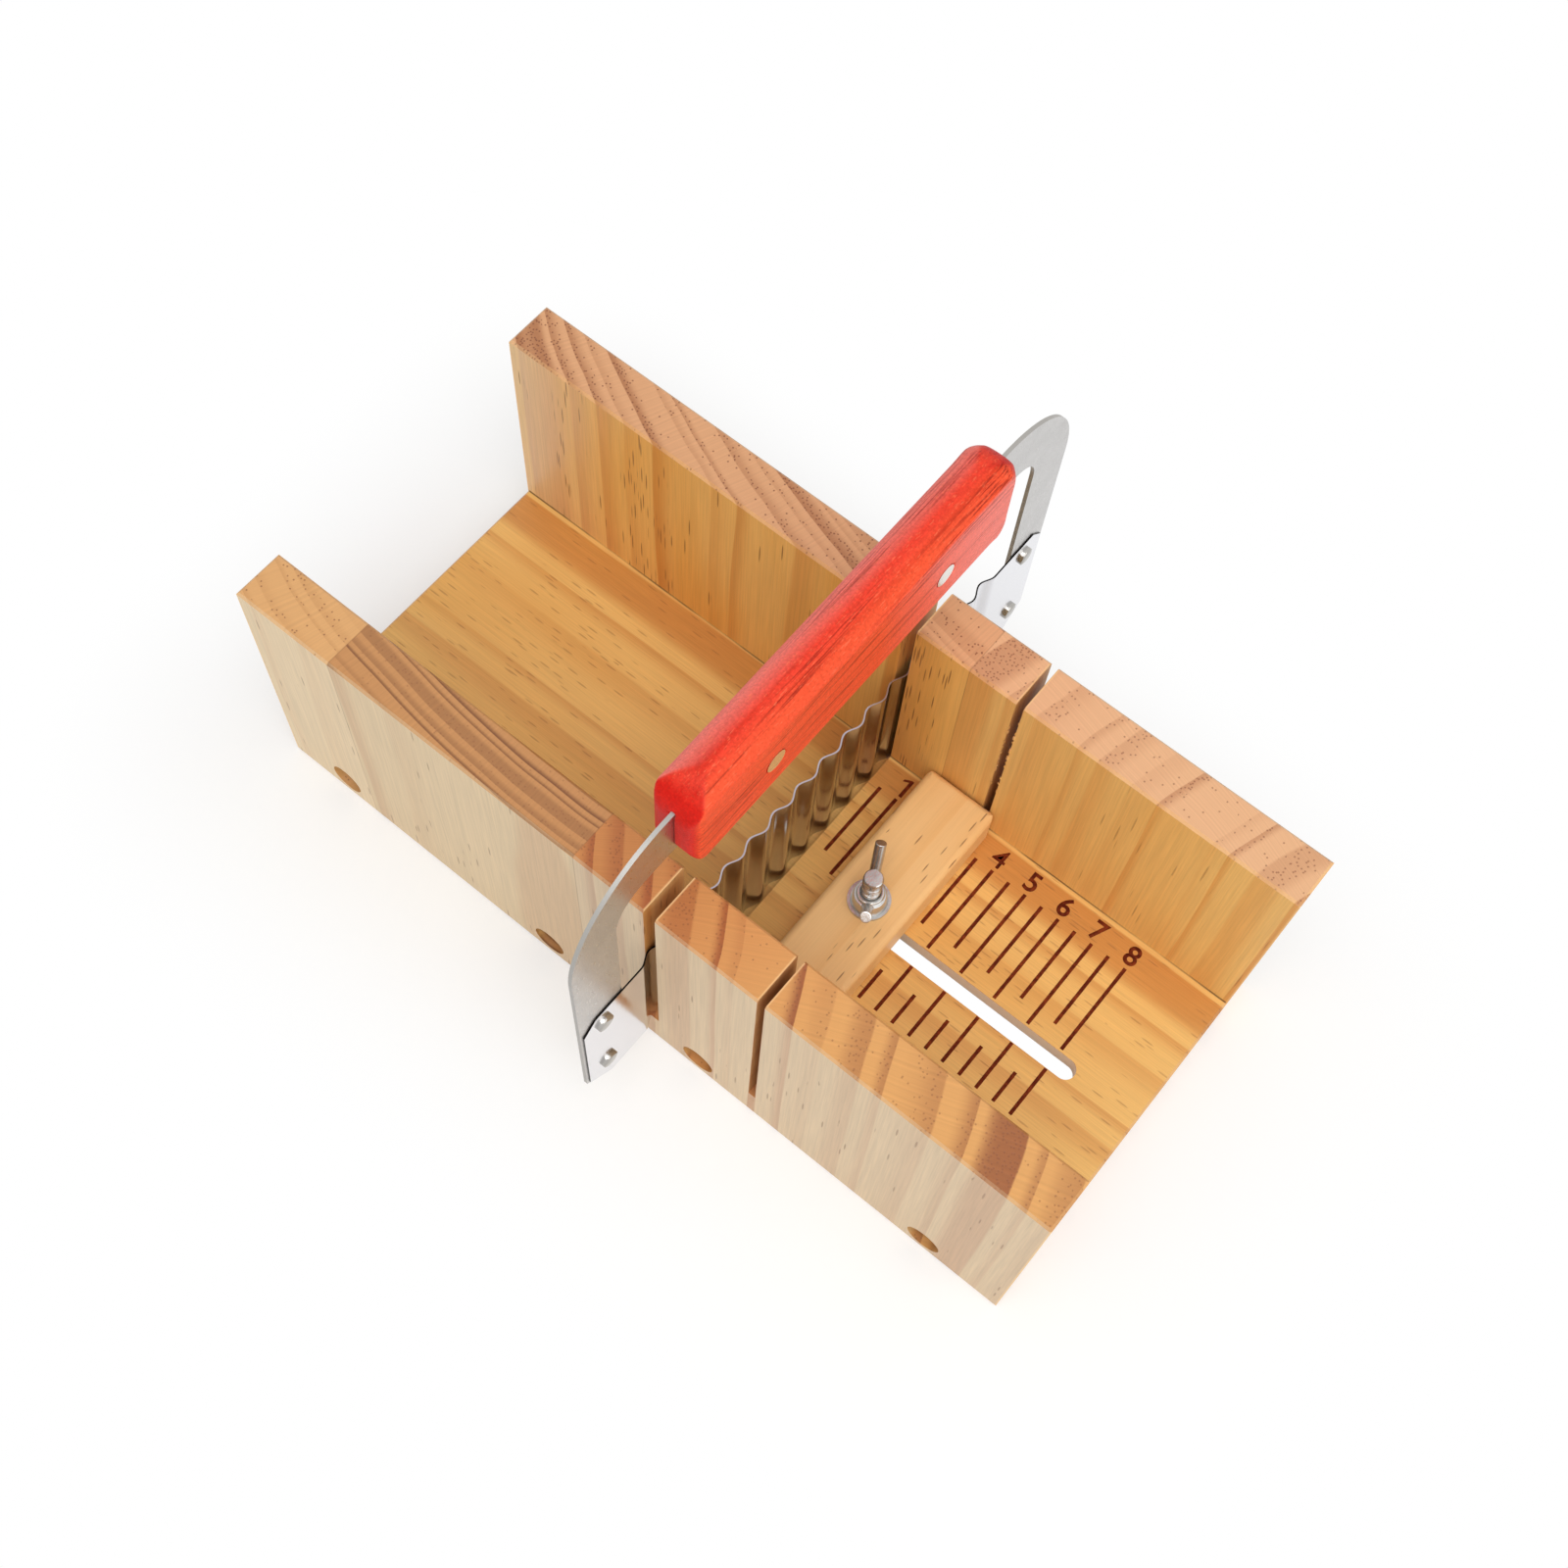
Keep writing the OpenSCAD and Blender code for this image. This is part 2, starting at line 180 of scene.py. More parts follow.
class Surface:
    """A material in the making, with the sockets that say where on its piece a point lies."""

    def __init__(self, name: str) -> None:
        """Opens an empty node material.

        Args:
            name: The material's name.
        """
        self.material = bpy.data.materials.new(name)
        self.material.use_nodes = True
        self.node = Nodes(self.material.node_tree)
        coordinates = self.node("TexCoord", out=None)
        self.place, self.normal = coordinates["Object"], coordinates["Normal"]

    def close(self, colour: Any, rough: Any, relief: tuple[float, float, Any] | None = None,
              **more: float) -> bpy.types.Material:
        """Adds the shader and the output.

        Args:
            colour: The surface's colour.
            rough: Its roughness.
            relief: How strong its bumps are, their depth in metres, and their height from 0 to 1.
            more: The shader's further inputs, with _ for each space in their names.

        Returns:
            The finished material.
        """
        sockets = {"Base Color": colour, "Roughness": rough,
                   **{name.replace("_", " "): value for name, value in more.items()}}
        if relief:
            strength, depth, height = relief
            sockets["Normal"] = self.node("Bump", sockets={"Strength": strength, "Distance": depth,
                                                           "Height": height})
        self.node("OutputMaterial", self.node("BsdfPrincipled", sockets=sockets), out=None)
        return self.material


class Wood(Surface):
    """A wooden surface, measured in millimetres along and across its grain."""

    def __init__(self, name: str, grain: Axis) -> None:
        """Splits the point and the normal into their parts, and turns the point with the grain.

        Args:
            name: The material's name.
            grain: The axis that the grain runs along.
        """
        super().__init__(name)
        node = self.node
        self.point = node("VectorMath SCALE", self.place, sockets={"Scale": 1 / MM})
        self.parts = node("SeparateXYZ", self.point, out=None)
        self.facing = node("SeparateXYZ", self.normal, out=None)
        self.across = self.parts[grain.across[0]]
        # The point with the grain along its third axis
        self.timber = node("CombineXYZ", *(self.parts[i] for i in (*grain.across, grain.value)))
        # How squarely the grain meets the surface, and how much late wood there is, both from 0 to 1
        self.turned = node("Math ABSOLUTE", self.facing[grain.value])
        self.late = 0.0


@dataclass(frozen=True)
class Pine:
    """Plain-sawn pine, planed and sanded but left bare.

    Growth rings are shells about a pith that lies outside the piece, so the bands on the end grain run
    on down the faces. Resin ducts show as short dark dashes along the grain and as dots across it, and
    fine rays cross the rings of the end grain. Bare wood is matt, with a faint sheen where the planer
    pressed it. Its arrises on the wall tops get a painted highlight, the crease at the walls' foot a
    painted shadow, the walls' outer faces a paler colour that is painted sheen, and the sides of the
    bolt's slot a painted light. Colours come in pairs for early and late wood, and sizes are in
    millimetres.
    """

    name: str
    grain: Axis
    pith: tuple[float, float]
    ring: float
    face: tuple[str, str]
    end: tuple[str, str]
    # Painted sheen: paler early and late colours for the faces that face out from the box
    outer: tuple[str, str] | None = None
    sap: tuple[float, float, str] | None = None
    heart: tuple[float, float, str] | None = None
    contrast: float = 1.0
    late_from: float = 0.4
    fibre: float = 1.0
    duct: float = 0.6
    duct_size: tuple[float, float] = (0.4, 4.0)
    duct_share: tuple[float, float] = (0.1, 0.5)
    clusters: tuple[tuple[float, float], ...] = ()
    duct_colour: str = "#7A4A22"
    dots: float = 0.65
    dot_colour: str = "#7D4526"
    stain: str = "#D8923F"
    walled: bool = False
    # Painted light on the sides of the bolt's slot
    slotted: bool = False
    joints: tuple[float, ...] = ()
    warp: float = 2.0
    seed: float = 0.0

    def build(self) -> bpy.types.Material:
        """Builds the material.

        Returns:
            A material that reads Object coordinates.
        """
        wood = Wood(self.name, self.grain)
        node = wood.node
        wood.turned = node("MapRange", wood.turned, 0.5, 0.85, 0.0, 1.0, **SOFT_STEP)
        wood.late, ray = self._rings(wood)
        fibre = node.mottle(wood.timber, FIBRES, 3.0, 0.6)
        dash, dot = self._dashes(wood), self._dots(wood)
        ray = node("MapRange", ray, 0.0, 1.0, 0.28, 0.72)
        grit = node("Mix", sockets={0: wood.turned, 2: fibre, 3: ray}, data_type="FLOAT")
        shade = node("MapRange", grit, 0.25, 0.75, 1 - 0.12 * self.fibre, 1 + 0.1 * self.fibre)
        colour = node("VectorMath SCALE", self._colour(wood), sockets={"Scale": shade})
        colour = node.tinted(colour, (dash, self.duct_colour), (dot, self.dot_colour))
        colour = self._lines(wood, colour)
        if self.walled:
            colour = self._scorch(wood, colour)
        elif self.slotted:
            colour = self._fresh_cut(wood, colour)
        relief = node.folded("SUBTRACT", grit, dash, dot)
        rough = node("MapRange", wood.late, 0.0, 1.0, 0.5, 0.4)
        return wood.close(colour, rough, (0.35, 0.12 * MM, relief), IOR=1.5)

    def _rings(self, wood: Wood) -> tuple[Any, Any]:
        """Makes the growth rings and the rays that cross them.

        Args:
            wood: The timber's surface.

        Returns:
            How much late wood a point has, from 0 to 1, and how light its ray is.
        """
        node = wood.node
        slow = node("VectorMath MULTIPLY", wood.timber, WANDER)
        slow = node("VectorMath ADD", slow, (self.seed, 2 * self.seed, 0.0))
        wander = node("TexNoise", slow, sockets={"Scale": 1.0, "Detail": 2.0}, out="Color")
        wander = node("VectorMath ADD", wander, (-0.5, -0.5, -0.5))
        wander = node("VectorMath SCALE", wander, sockets={"Scale": 2 * self.warp})
        moved = node("VectorMath ADD", wood.timber, wander)
        moved = node("VectorMath ADD", moved, (-self.pith[0], -self.pith[1], 0.0))
        split = node("SeparateXYZ", moved, out=None)
        flat = node("CombineXYZ", split[0], split[1], 0.0)
        radius = node("VectorMath LENGTH", flat, out="Value")
        count = node("Math DIVIDE", radius, self.ring)
        uneven = node("TexNoise", None, count, 0.45, 1.0, noise_dimensions="1D")
        count = node("Math MULTIPLY_ADD", uneven, 2.8, count)
        phase = node("Math FRACT", count)
        year = node("TexWhiteNoise", sockets={"W": node("Math FLOOR", count)},
                    noise_dimensions="1D")
        rise = node("MapRange", phase, self.late_from, CREST, 0.0, 1.0, **SOFT_STEP)
        fall = node("MapRange", phase, BRINK, 1.0, 1.0, 0.0, **SOFT_STEP)
        depth = node("MapRange", year, 0.0, 1.0, 0.2 * self.contrast, self.contrast)
        angle = node("Math ARCTAN2", split[1], split[0])
        angle = node("Math MULTIPLY", angle, RAYS * math.hypot(*self.pith))
        ray = node("TexNoise", None, angle, 1.0, 1.0, noise_dimensions="1D")
        return node.folded("MULTIPLY", rise, fall, depth), ray

    def _pores(self, wood: Wood, often: Sequence[float], shift: Sequence[float],
               **settings: str) -> tuple[Any, Any]:
        """Scatters cells over the timber, each with a pore in its middle.

        Args:
            wood: The timber's surface.
            often: How many cells there are per millimetre along each axis.
            shift: How far the cells are moved.
            settings: The cell node's own properties.

        Returns:
            How far a point is from its pore, and the three random numbers of its cell.
        """
        cells = wood.node("VectorMath MULTIPLY", wood.timber, often)
        cells = wood.node("VectorMath ADD", cells, shift)
        pore = wood.node("TexVoronoi", cells, sockets={"Scale": 1.0}, out=None, **settings)
        return pore["Distance"], wood.node("SeparateColor", pore["Color"], out=None)

    def _dashes(self, wood: Wood) -> Any:
        """Makes the resin ducts, dark dashes along the grain that gather in patches and in late wood.

        Args:
            wood: The timber's surface.

        Returns:
            How much of the dark colour a point gets, from 0 to 1.
        """
        node = wood.node
        width, length = self.duct_size
        distance, chance = self._pores(wood, [DUCT_FILL / size for size in (width, width, length)],
                                       (self.seed, 0.0, 3 * self.seed))
        patch = node.mottle(wood.timber, DUCT_PATCHES, 1.0)
        patch = node("Math MULTIPLY_ADD", wood.late, 0.15, patch)
        share = node("MapRange", patch, 0.38, 0.68, *self.duct_share)
        for centre, half in self.clusters:
            near = node("MapRange", node.apart(wood.across, centre), 0.4 * half, half, 1.0, 0.0)
            share = node("Math MAXIMUM", share, near)
        chosen = node("Math LESS_THAN", chance[0], share)
        strong = node("MapRange", chance[1], 0.0, 1.0, 0.45 * self.duct, self.duct)
        inside = node("MapRange", distance, 0.18, 0.32, strong, 0.0, **SOFT_STEP)
        sideways = node("Math SUBTRACT", 1.0, wood.turned)
        return node.folded("MULTIPLY", chosen, inside, sideways)

    def _dots(self, wood: Wood) -> Any:
        """Makes the ducts' open ends, 0.3 mm dots that crowd in the late wood of the end grain.

        Args:
            wood: The timber's surface.

        Returns:
            How much of the dark colour a point gets, from 0 to 1.
        """
        node = wood.node
        distance, chance = self._pores(wood, DUCT_ENDS, (3 * self.seed, 0.0, 0.0),
                                       voronoi_dimensions="2D")
        share = node("MapRange", wood.late, 0.1, 0.7, 0.04, 0.75)
        chosen = node("Math LESS_THAN", chance[0], share)
        inside = node("MapRange", distance, 0.16, 0.34, self.dots, 0.0, **SOFT_STEP)
        return node.folded("MULTIPLY", chosen, inside, wood.turned)

    def _colour(self, wood: Wood) -> Any:
        """Mixes early and late wood on the faces and on the end grain.

        Args:
            wood: The timber's surface.

        Returns:
            The wood's colour before fibres, ducts and scorch marks.
        """
        node, late, x = wood.node, wood.late, wood.parts[0]
        cloud = node.mottle(wood.timber, CLOUDS)
        cloud = node("MapRange", cloud, 0.45, 0.7, 0.0, 0.6)
        face = node.tinted(self.face[0], (late, self.face[1]), (cloud, self.stain))
        end = node.tinted(self.end[0], (late, self.end[1]))
        if self.sap:
            start, stop, tint = self.sap
            face = node.tinted(face, (node("MapRange", x, start, stop, 0.7, 0.0), tint))
        if self.heart:
            start, stop, tint = self.heart
            end = node.tinted(end, (node("MapRange", x, start, stop, 0.5, 0.0), tint))
        # Painted sheen: faces that face out from the box get paler colours in place of the white
        # surround's glancing reflection
        if self.outer:
            pale = node.tinted(self.outer[0], (late, self.outer[1]))
            side = node("Math MULTIPLY", wood.facing[1], wood.parts[1])
            face = node.tinted(face, (node("MapRange", side, 10.0, 40.0, 0.0, 1.0), pale))
        return node.tinted(face, (wood.turned, end))

    def _lines(self, wood: Wood, colour: Any) -> Any:
        """Draws glue lines between staves, painted shadow at the walls' foot and painted arris highlights.

        Args:
            wood: The timber's surface.
            colour: Its colour.

        Returns:
            The colour with its lines.
        """
        node, (x, y, z) = wood.node, wood.parts
        for joint in self.joints:
            glue = node("MapRange", node.apart(x, joint), 0.04, 0.22, 0.4, 0.0)
            colour = node.tinted(colour, (glue, "#8A5A32"))
        side = node("Math ABSOLUTE", y)
        inner = node.apart(side, INNER_Y)
        # Painted shadow: a dark, patchy line in the crease where the walls stand on the base
        foot = node("Math ADD", node.apart(z, BASE_TOP), inner)
        patchy_shadow = node("MapRange", node.mottle(wood.point, (0.06, 0.06, 0.06)), 0.38, 0.6, 0.25, 0.85)
        colour = node.tinted(colour, (node("MapRange", foot, 0.12, 0.4, patchy_shadow, 0.0), "#5E3A1C"))
        if not self.walled:
            return colour
        # Painted highlight: a pale line along the arrises of the wall tops, their ends and the blade slots
        edge = node("Math MINIMUM", inner, node("Math SUBTRACT", OUTER_Y, side))
        drop = node("Math SUBTRACT", WALL_TOP, z)
        end = node("Math SUBTRACT", BOX_END, node("Math ABSOLUTE", x))
        # Two faces meet in an arris, and both are near there
        arrises = [(edge, drop), (end, drop), (end, edge)]
        for middle, width in (WIDE_SLOT, NARROW_SLOT):
            arrises.append((node.apart(node.apart(x, middle), width / 2), drop))
        near = node.folded("MINIMUM", *(node("Math ADD", *faces) for faces in arrises))
        return node.tinted(colour, (node("MapRange", near, 0.12, 0.5, 0.85, 0.0), "#F5CB8E"))

    def _fresh_cut(self, wood: Wood, colour: Any) -> Any:
        """Paints light on the sides of the bolt's slot, which lie in shade.

        Args:
            wood: The timber's surface.
            colour: Its colour.

        Returns:
            The colour with its paler slot.
        """
        node, (x, y, z) = wood.node, wood.parts
        side = node("Math LESS_THAN", node("Math ABSOLUTE", y), BOLT_SLOT)
        along = node("Math LESS_THAN", node.apart(x, BOLT_SLOT_X), BOLT_SLOT_REACH)
        drop = node("Math SUBTRACT", BASE_TOP, z)
        drop = node("MapRange", drop, 0.0, 0.3, 0.0, 0.85)
        # Painted light: a near-white colour on the slot's sides, which lie in shade
        return node.tinted(colour, (node.folded("MULTIPLY", side, along, drop), "#FFF0D8"))

    def _scorch(self, wood: Wood, colour: Any) -> Any:
        """Browns the insides of the slots, where the saw's heat marked them.

        Args:
            wood: The timber's surface.
            colour: Its colour.

        Returns:
            The colour with its scorched slots.
        """
        node = wood.node
        burns = node.mottle(wood.point, BURNS, 3.0)
        for (middle, width), burn, tint in ((WIDE_SLOT, 0.2, "#C9955F"), (NARROW_SLOT, 0.65, "#B06F40")):
            near = node("MapRange", node.apart(wood.parts[0], middle), width / 2 + 0.02, width / 2 + 0.2,
                        1.7 * burn, 0.0)
            near = node("Math MULTIPLY", near, burns, use_clamp=True)
            colour = node.tinted(colour, (near, tint))
        return colour


@dataclass(frozen=True)
class StainedBeech:
    """Close-grained hardwood stained red and rubbed down, with a thin satin oil.

    The stain sinks into the pores, so they show as darker streaks along the grain, and it floods the end
    grain, which is deeper in colour. It is flecked with bare fibres. The side that faces +X gets painted
    light in orange, and the side that faces -X and the far part of the +X side get painted sheen in rose.
    """

    name: str = "red_stained_beech"
    light: str = "#EA432F"
    deep: str = "#C62416"
    # Painted light on the side that faces +X
    orange: str = "#F65B36"
    pore: str = "#7C100C"
    fleck: str = "#F97A55"
    # Painted sheen on the side that faces -X and on the far part of the +X side
    rose: str = "#FA887C"
    end: str = "#CE180E"

    def build(self) -> bpy.types.Material:
        """Builds the material.

        Returns:
            A material that reads Object coordinates.
        """
        wood = Wood(self.name, Axis.Y)
        node, right = wood.node, wood.facing[0]
        grain = {}
        # Each layer of the grain: how often it repeats in 1 mm across and along, its detail, and the
        # span of noise that it keeps
        layers = {"broad": (0.26, 0.011, 3.0, 0.4, 0.6), "gather": (0.22, 0.012, 1.0, 0.46, 0.58),
                  "streak": (2.2, 0.05, 3.0, 0.49, 0.62), "fleck": (2.8, 0.5, 2.0, 0.58, 0.72)}
        for label, (across, along, detail, low, high) in layers.items():
            noise = node.mottle(wood.point, (across, along, across), detail, 0.6)
            grain[label] = node("MapRange", noise, low, high, 0.0, 1.0)
        dark = node.folded("MULTIPLY", grain["streak"], grain["gather"], 0.7)
        # Painted sheen: the far part of the +X side turns rose
        far_sheen = node("MapRange", wood.parts[1], 15.0, 55.0, 0.0, 0.8)
        flank = node("MapRange", right, 0.8, 0.98, 0.0, 1.0)
        # Painted light: the +X side turns orange; painted sheen: the -X side turns rose
        colour = node.tinted(self.light, (grain["broad"], self.deep),
                             (node("MapRange", right, 0.1, 0.6, 0.0, 0.8), self.orange),
                             (node("MapRange", right, 0.0, -0.6, 0.0, 0.75), self.rose),
                             (node("Math MULTIPLY", far_sheen, flank), self.rose),
                             (dark, self.pore),
                             (node("Math MULTIPLY", grain["fleck"], 0.55), self.fleck),
                             (node("MapRange", wood.turned, 0.35, 0.75, 0.0, 0.9), self.end))
        speck = node("TexNoise", wood.point, sockets={"Scale": 1.7, "Detail": 3.0})
        speck = node("MapRange", speck, 0.3, 0.7, 0.86, 1.14)
        colour = node("VectorMath SCALE", colour, sockets={"Scale": speck})
        relief = node("Math SUBTRACT", speck, dark)
        return wood.close(colour, 0.44, (0.4, 0.1 * MM, relief), Specular_IOR_Level=0.1, IOR=1.5)


@dataclass(frozen=True)
class Metal:
    """A bare or plated metal whose surface was brushed, rolled, tumbled or polished.

    Fine lines run along the three spacings in millimetres: a long spacing one way and a short one across
    it is a brushed face, and equal spacings are a tumbled or plated one. Duller clouds are 6 mm wide.
    Sheared edges can have their own colour. Painted tab light says how far the blade's middle reaches,
    the lighter colour beyond it that is painted reflection on the flat tabs, and the dark colour that is
    painted shadow on the tabs' edges there.
    """

    name: str
    colour: str
    rough: float
    spacing: tuple[float, float, float]
    relief: float = 0.3
    spread: float = 0.08
    bare: float = 1.0
    cloud: float = 6.25
    tint: str | None = None
    edge: str | None = None
    # Painted reflection on the blade's tabs and painted shadow on their edges
    wiped: tuple[float, str, str] | None = None

    def build(self) -> bpy.types.Material:
        """Builds the material.

        Returns:
            A material that reads Object coordinates.
        """
        surface = Surface(self.name)
        node, place = surface.node, surface.place
        line = node.mottle(place, [1 / MM / spacing for spacing in self.spacing], 3.0, 0.55)
        broad = node("TexNoise", place, sockets={"Scale": 1 / MM / self.cloud, "Detail": 2.0})
        dark = linear(self.tint) if self.tint else (*(0.82 * c for c in linear(self.colour)[:3]), 1.0)
        colour = node.tinted(dark, (broad, self.colour))
        half = self.spread / 2
        rough = node("MapRange", line, 0.3, 0.7, self.rough - half, self.rough + half)
        if self.wiped:
            reach, tab_reflection, tab_edge_shadow = self.wiped
            # Painted reflection: the blade's flat tabs beyond the reach get a lighter colour
            off = node.apart(node("SeparateXYZ", place, out=1), CUTTER_Y * MM)
            off = node("MapRange", off, reach * MM, (reach + 4) * MM, 0.0, 1.0)
            colour = node.tinted(colour, (off, tab_reflection))
        if self.edge:
            sheared = node("Math ABSOLUTE", node("SeparateXYZ", surface.normal))
            sheared = node("MapRange", sheared, 0.4, 0.7, 1.0, 0.0)
            colour = node.tinted(colour, (sheared, self.edge))
            if self.wiped:
                # Painted shadow: the tabs' edges get a dark colour
                colour = node.tinted(colour, (node("Math MULTIPLY", sheared, off), tab_edge_shadow))
            rough = node("Math MULTIPLY_ADD", sheared, 0.15, rough)
        return surface.close(colour, rough, (self.relief, 0.04 * MM, line), Metallic=self.bare)


@dataclass(frozen=True)
class BurntPine:
    """Pine charred by a marking iron or laser: dark red-brown, dull, and mottled with lighter char."""

    name: str = "burnt_pine"
    char: str = "#5A1D0A"
    edge: str = "#8A3A18"
    grit: float = 10 / 9

    def build(self) -> bpy.types.Material:
        """Builds the material.

        Returns:
            A material that reads Object coordinates.
        """
        surface = Surface(self.name)
        node = surface.node
        mottle = node("TexNoise", surface.place, sockets={"Scale": 1 / MM / self.grit, "Detail": 3.0})
        colour = node.tinted(self.char, (node("MapRange", mottle, 0.4, 0.75, 0.0, 1.0), self.edge))
        return surface.close(colour, 0.85, Specular_IOR_Level=0.15)


def placed(name: str, data: Any) -> bpy.types.Object:
    """Puts a new object into the scene.

    Args:
        name: Its name.
        data: Its mesh, text, lamp or camera.

    Returns:
        The object.
    """
    thing = bpy.data.objects.new(name, data)
    bpy.context.scene.collection.objects.link(thing)
    return thing


def frozen(carrier: bpy.types.Object) -> bpy.types.Mesh:
    """Turns an object with its modifiers into a plain mesh and removes the object.

    Args:
        carrier: The object.

    Returns:
        The mesh.
    """
    graph = bpy.context.evaluated_depsgraph_get()
    mesh = bpy.data.meshes.new_from_object(carrier.evaluated_get(graph))
    bpy.data.objects.remove(carrier)
    return mesh


@contextmanager
def drawing(mesh: bpy.types.Mesh) -> Iterator[bmesh.types.BMesh]:
    """Opens a mesh for drawing and writes the drawing back.

    Args:
        mesh: The mesh, which may be empty.

    Yields:
        What is drawn on, in metres.
    """
    shape = bmesh.new()
    shape.from_mesh(mesh)
    yield shape
    shape.to_mesh(mesh)
    shape.free()


def dress(node: str, material: bpy.types.Material) -> None:
    """Gives a CAD node its material.

    Args:
        node: The node's name.
        material: What it is made of.
    """
    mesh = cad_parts[node].data
    mesh.materials.clear()
    mesh.materials.append(material)
    LOG.info("dressed %s in %s", node, material.name)


def show_mesh(name: str, mesh: bpy.types.Mesh, body: str, material: bpy.types.Material,
              stands_for: Sequence[str] = ()) -> None:
    """Puts a finished mesh into the scene as a piece of the object.

    Args:
        name: The piece's name.
        mesh: Its mesh, already in place.
        body: The CAD body that it moves with.
        material: What it is made of.
        stands_for: CAD nodes that it replaces.
    """
    mesh.name = name
    if not mesh.materials:
        mesh.materials.append(material)
    piece = placed(name, mesh)
    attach(piece, body)
    if stands_for:
        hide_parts(*stands_for)
    LOG.info("made %s: %d faces", name, len(mesh.polygons))


def lathe(shape: bmesh.types.BMesh, profile: Sequence[tuple[float, float]],
          centre: tuple[float, float]) -> None:
    """Turns a profile round a vertical axis and closes both ends.

    Args:
        shape: The bmesh that gets the faces.
        profile: Radius and height of each point in millimetres.
        centre: Where the axis stands in millimetres.
    """
    segments = 48
    turns = [2 * math.pi * i / segments for i in range(segments)]
    rows = [[shape.verts.new(((centre[0] + radius * math.cos(turn)) * MM,
                              (centre[1] + radius * math.sin(turn)) * MM, height * MM)) for turn in turns]
            for radius, height in profile]
    for low, high in zip(rows, rows[1:]):
        for i in range(segments):
            shape.faces.new((low[i], low[(i + 1) % segments], high[(i + 1) % segments], high[i]))
    for row in (rows[0], rows[-1]):
        shape.faces.new(row)


def softened(node: str, voxel: float, smooth: int = 3) -> bpy.types.Mesh:
    """Copies a CAD node's mesh, joins its solids into one skin and softens its edges.

    Args:
        node: The node's name.
        voxel: The size of the skin's cells in millimetres.
        smooth: How many passes soften the edges.

    Returns:
        A new mesh.
    """
    mesh = bpy.data.meshes.new(node + "_copy")
    with drawing(mesh) as shape:
        shape.from_mesh(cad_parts[node].data)
        bmesh.ops.remove_doubles(shape, verts=shape.verts, dist=1e-6)
    carrier = placed("carrier", mesh)
    skin = carrier.modifiers.new("skin", "REMESH")
    skin.mode = "VOXEL"
    skin.voxel_size = voxel * MM
    skin.use_smooth_shade = True
    soft = carrier.modifiers.new("soft", "SMOOTH")
    soft.factor = 0.5
    soft.iterations = smooth
    made = frozen(carrier)
    made.materials.clear()
    made.shade_smooth()
    return made


def eased(u: float, v: float, old: float, new: float) -> tuple[float, float]:
    """Moves a point near a corner so that the corner's arc gets a smaller radius.

    Args:
        u: The point's first offset from the old arc's centre towards the corner.
        v: Its second offset.
        old: The arc's radius.
        new: The radius that it gets.

    Returns:
        The two offsets after the move.
    """
    if u <= 0 or v <= 0:
        return u, v
    reach = math.hypot(u, v)
    cos, sin, gap = u / reach, v / reach, old - new
    if min(cos, sin) * old <= max(cos, sin) * gap:
        edge = old / max(cos, sin)
    else:
        slant = gap * (cos + sin)
        edge = slant + math.sqrt(slant * slant - 2 * gap * gap + new * new)
    return u * edge / old, v * edge / old


class Recipe:
    """A Geometry Nodes tree with named inputs, baked into a plain mesh when it is used."""

    def __init__(self, name: str, lengths: dict[str, float], counts: dict[str, float]) -> None:
        """Opens the tree.

        Args:
            name: The tree's name.
            lengths: Each input that is a length, in millimetres.
            counts: Each input that is a plain number.
        """
        tree = bpy.data.node_groups.new(name, "GeometryNodeTree")
        tree.interface.new_socket("Geometry", in_out="OUTPUT", socket_type="NodeSocketGeometry")
        self.group, self.values = tree, {}
        for label, value in {**{key: length * MM for key, length in lengths.items()}, **counts}.items():
            kind = "NodeSocketInt" if isinstance(value, int) else "NodeSocketFloat"
            socket = tree.interface.new_socket(label, in_out="INPUT", socket_type=kind)
            self.values[socket.identifier] = value
        self.node = Nodes(tree)
        self.inputs = self.node("NodeGroupInput", out=None)

    def row(self, part: Any, count: Any, step: Any, start: Any = None) -> Any:
        """Repeats a part along a straight line.

        Args:
            part: The part's geometry.
            count: How many there are.
            step: The way from one to the next.
            start: Where the first one goes, if not at the origin.

        Returns:
            The row as real geometry.
        """
        line = self.node("GeometryNodeMeshLine", sockets={"Count": count, "Start Location": start,
                                                          "Offset": step})
        row = self.node("GeometryNodeInstanceOnPoints", line, sockets={"Instance": part})
        return self.node("GeometryNodeRealizeInstances", row)

    def bake(self, geometry: Any, material: bpy.types.Material) -> bpy.types.Mesh:
        """Closes the tree, runs it and keeps the result.

        Args:
            geometry: The socket with the finished geometry.
            material: What it is made of.

        Returns:
            A plain mesh.
        """
        solid = self.node("GeometryNodeRealizeInstances", geometry)
        solid = self.node("GeometryNodeSetMaterial", solid, sockets={"Material": material})
        self.node("NodeGroupOutput", solid, out=None)
        carrier = placed("carrier", bpy.data.meshes.new("carrier"))
        run = carrier.modifiers.new("run", "NODES")
        run.node_group = self.group
        for key, value in self.values.items():
            run[key] = value
        return frozen(carrier)


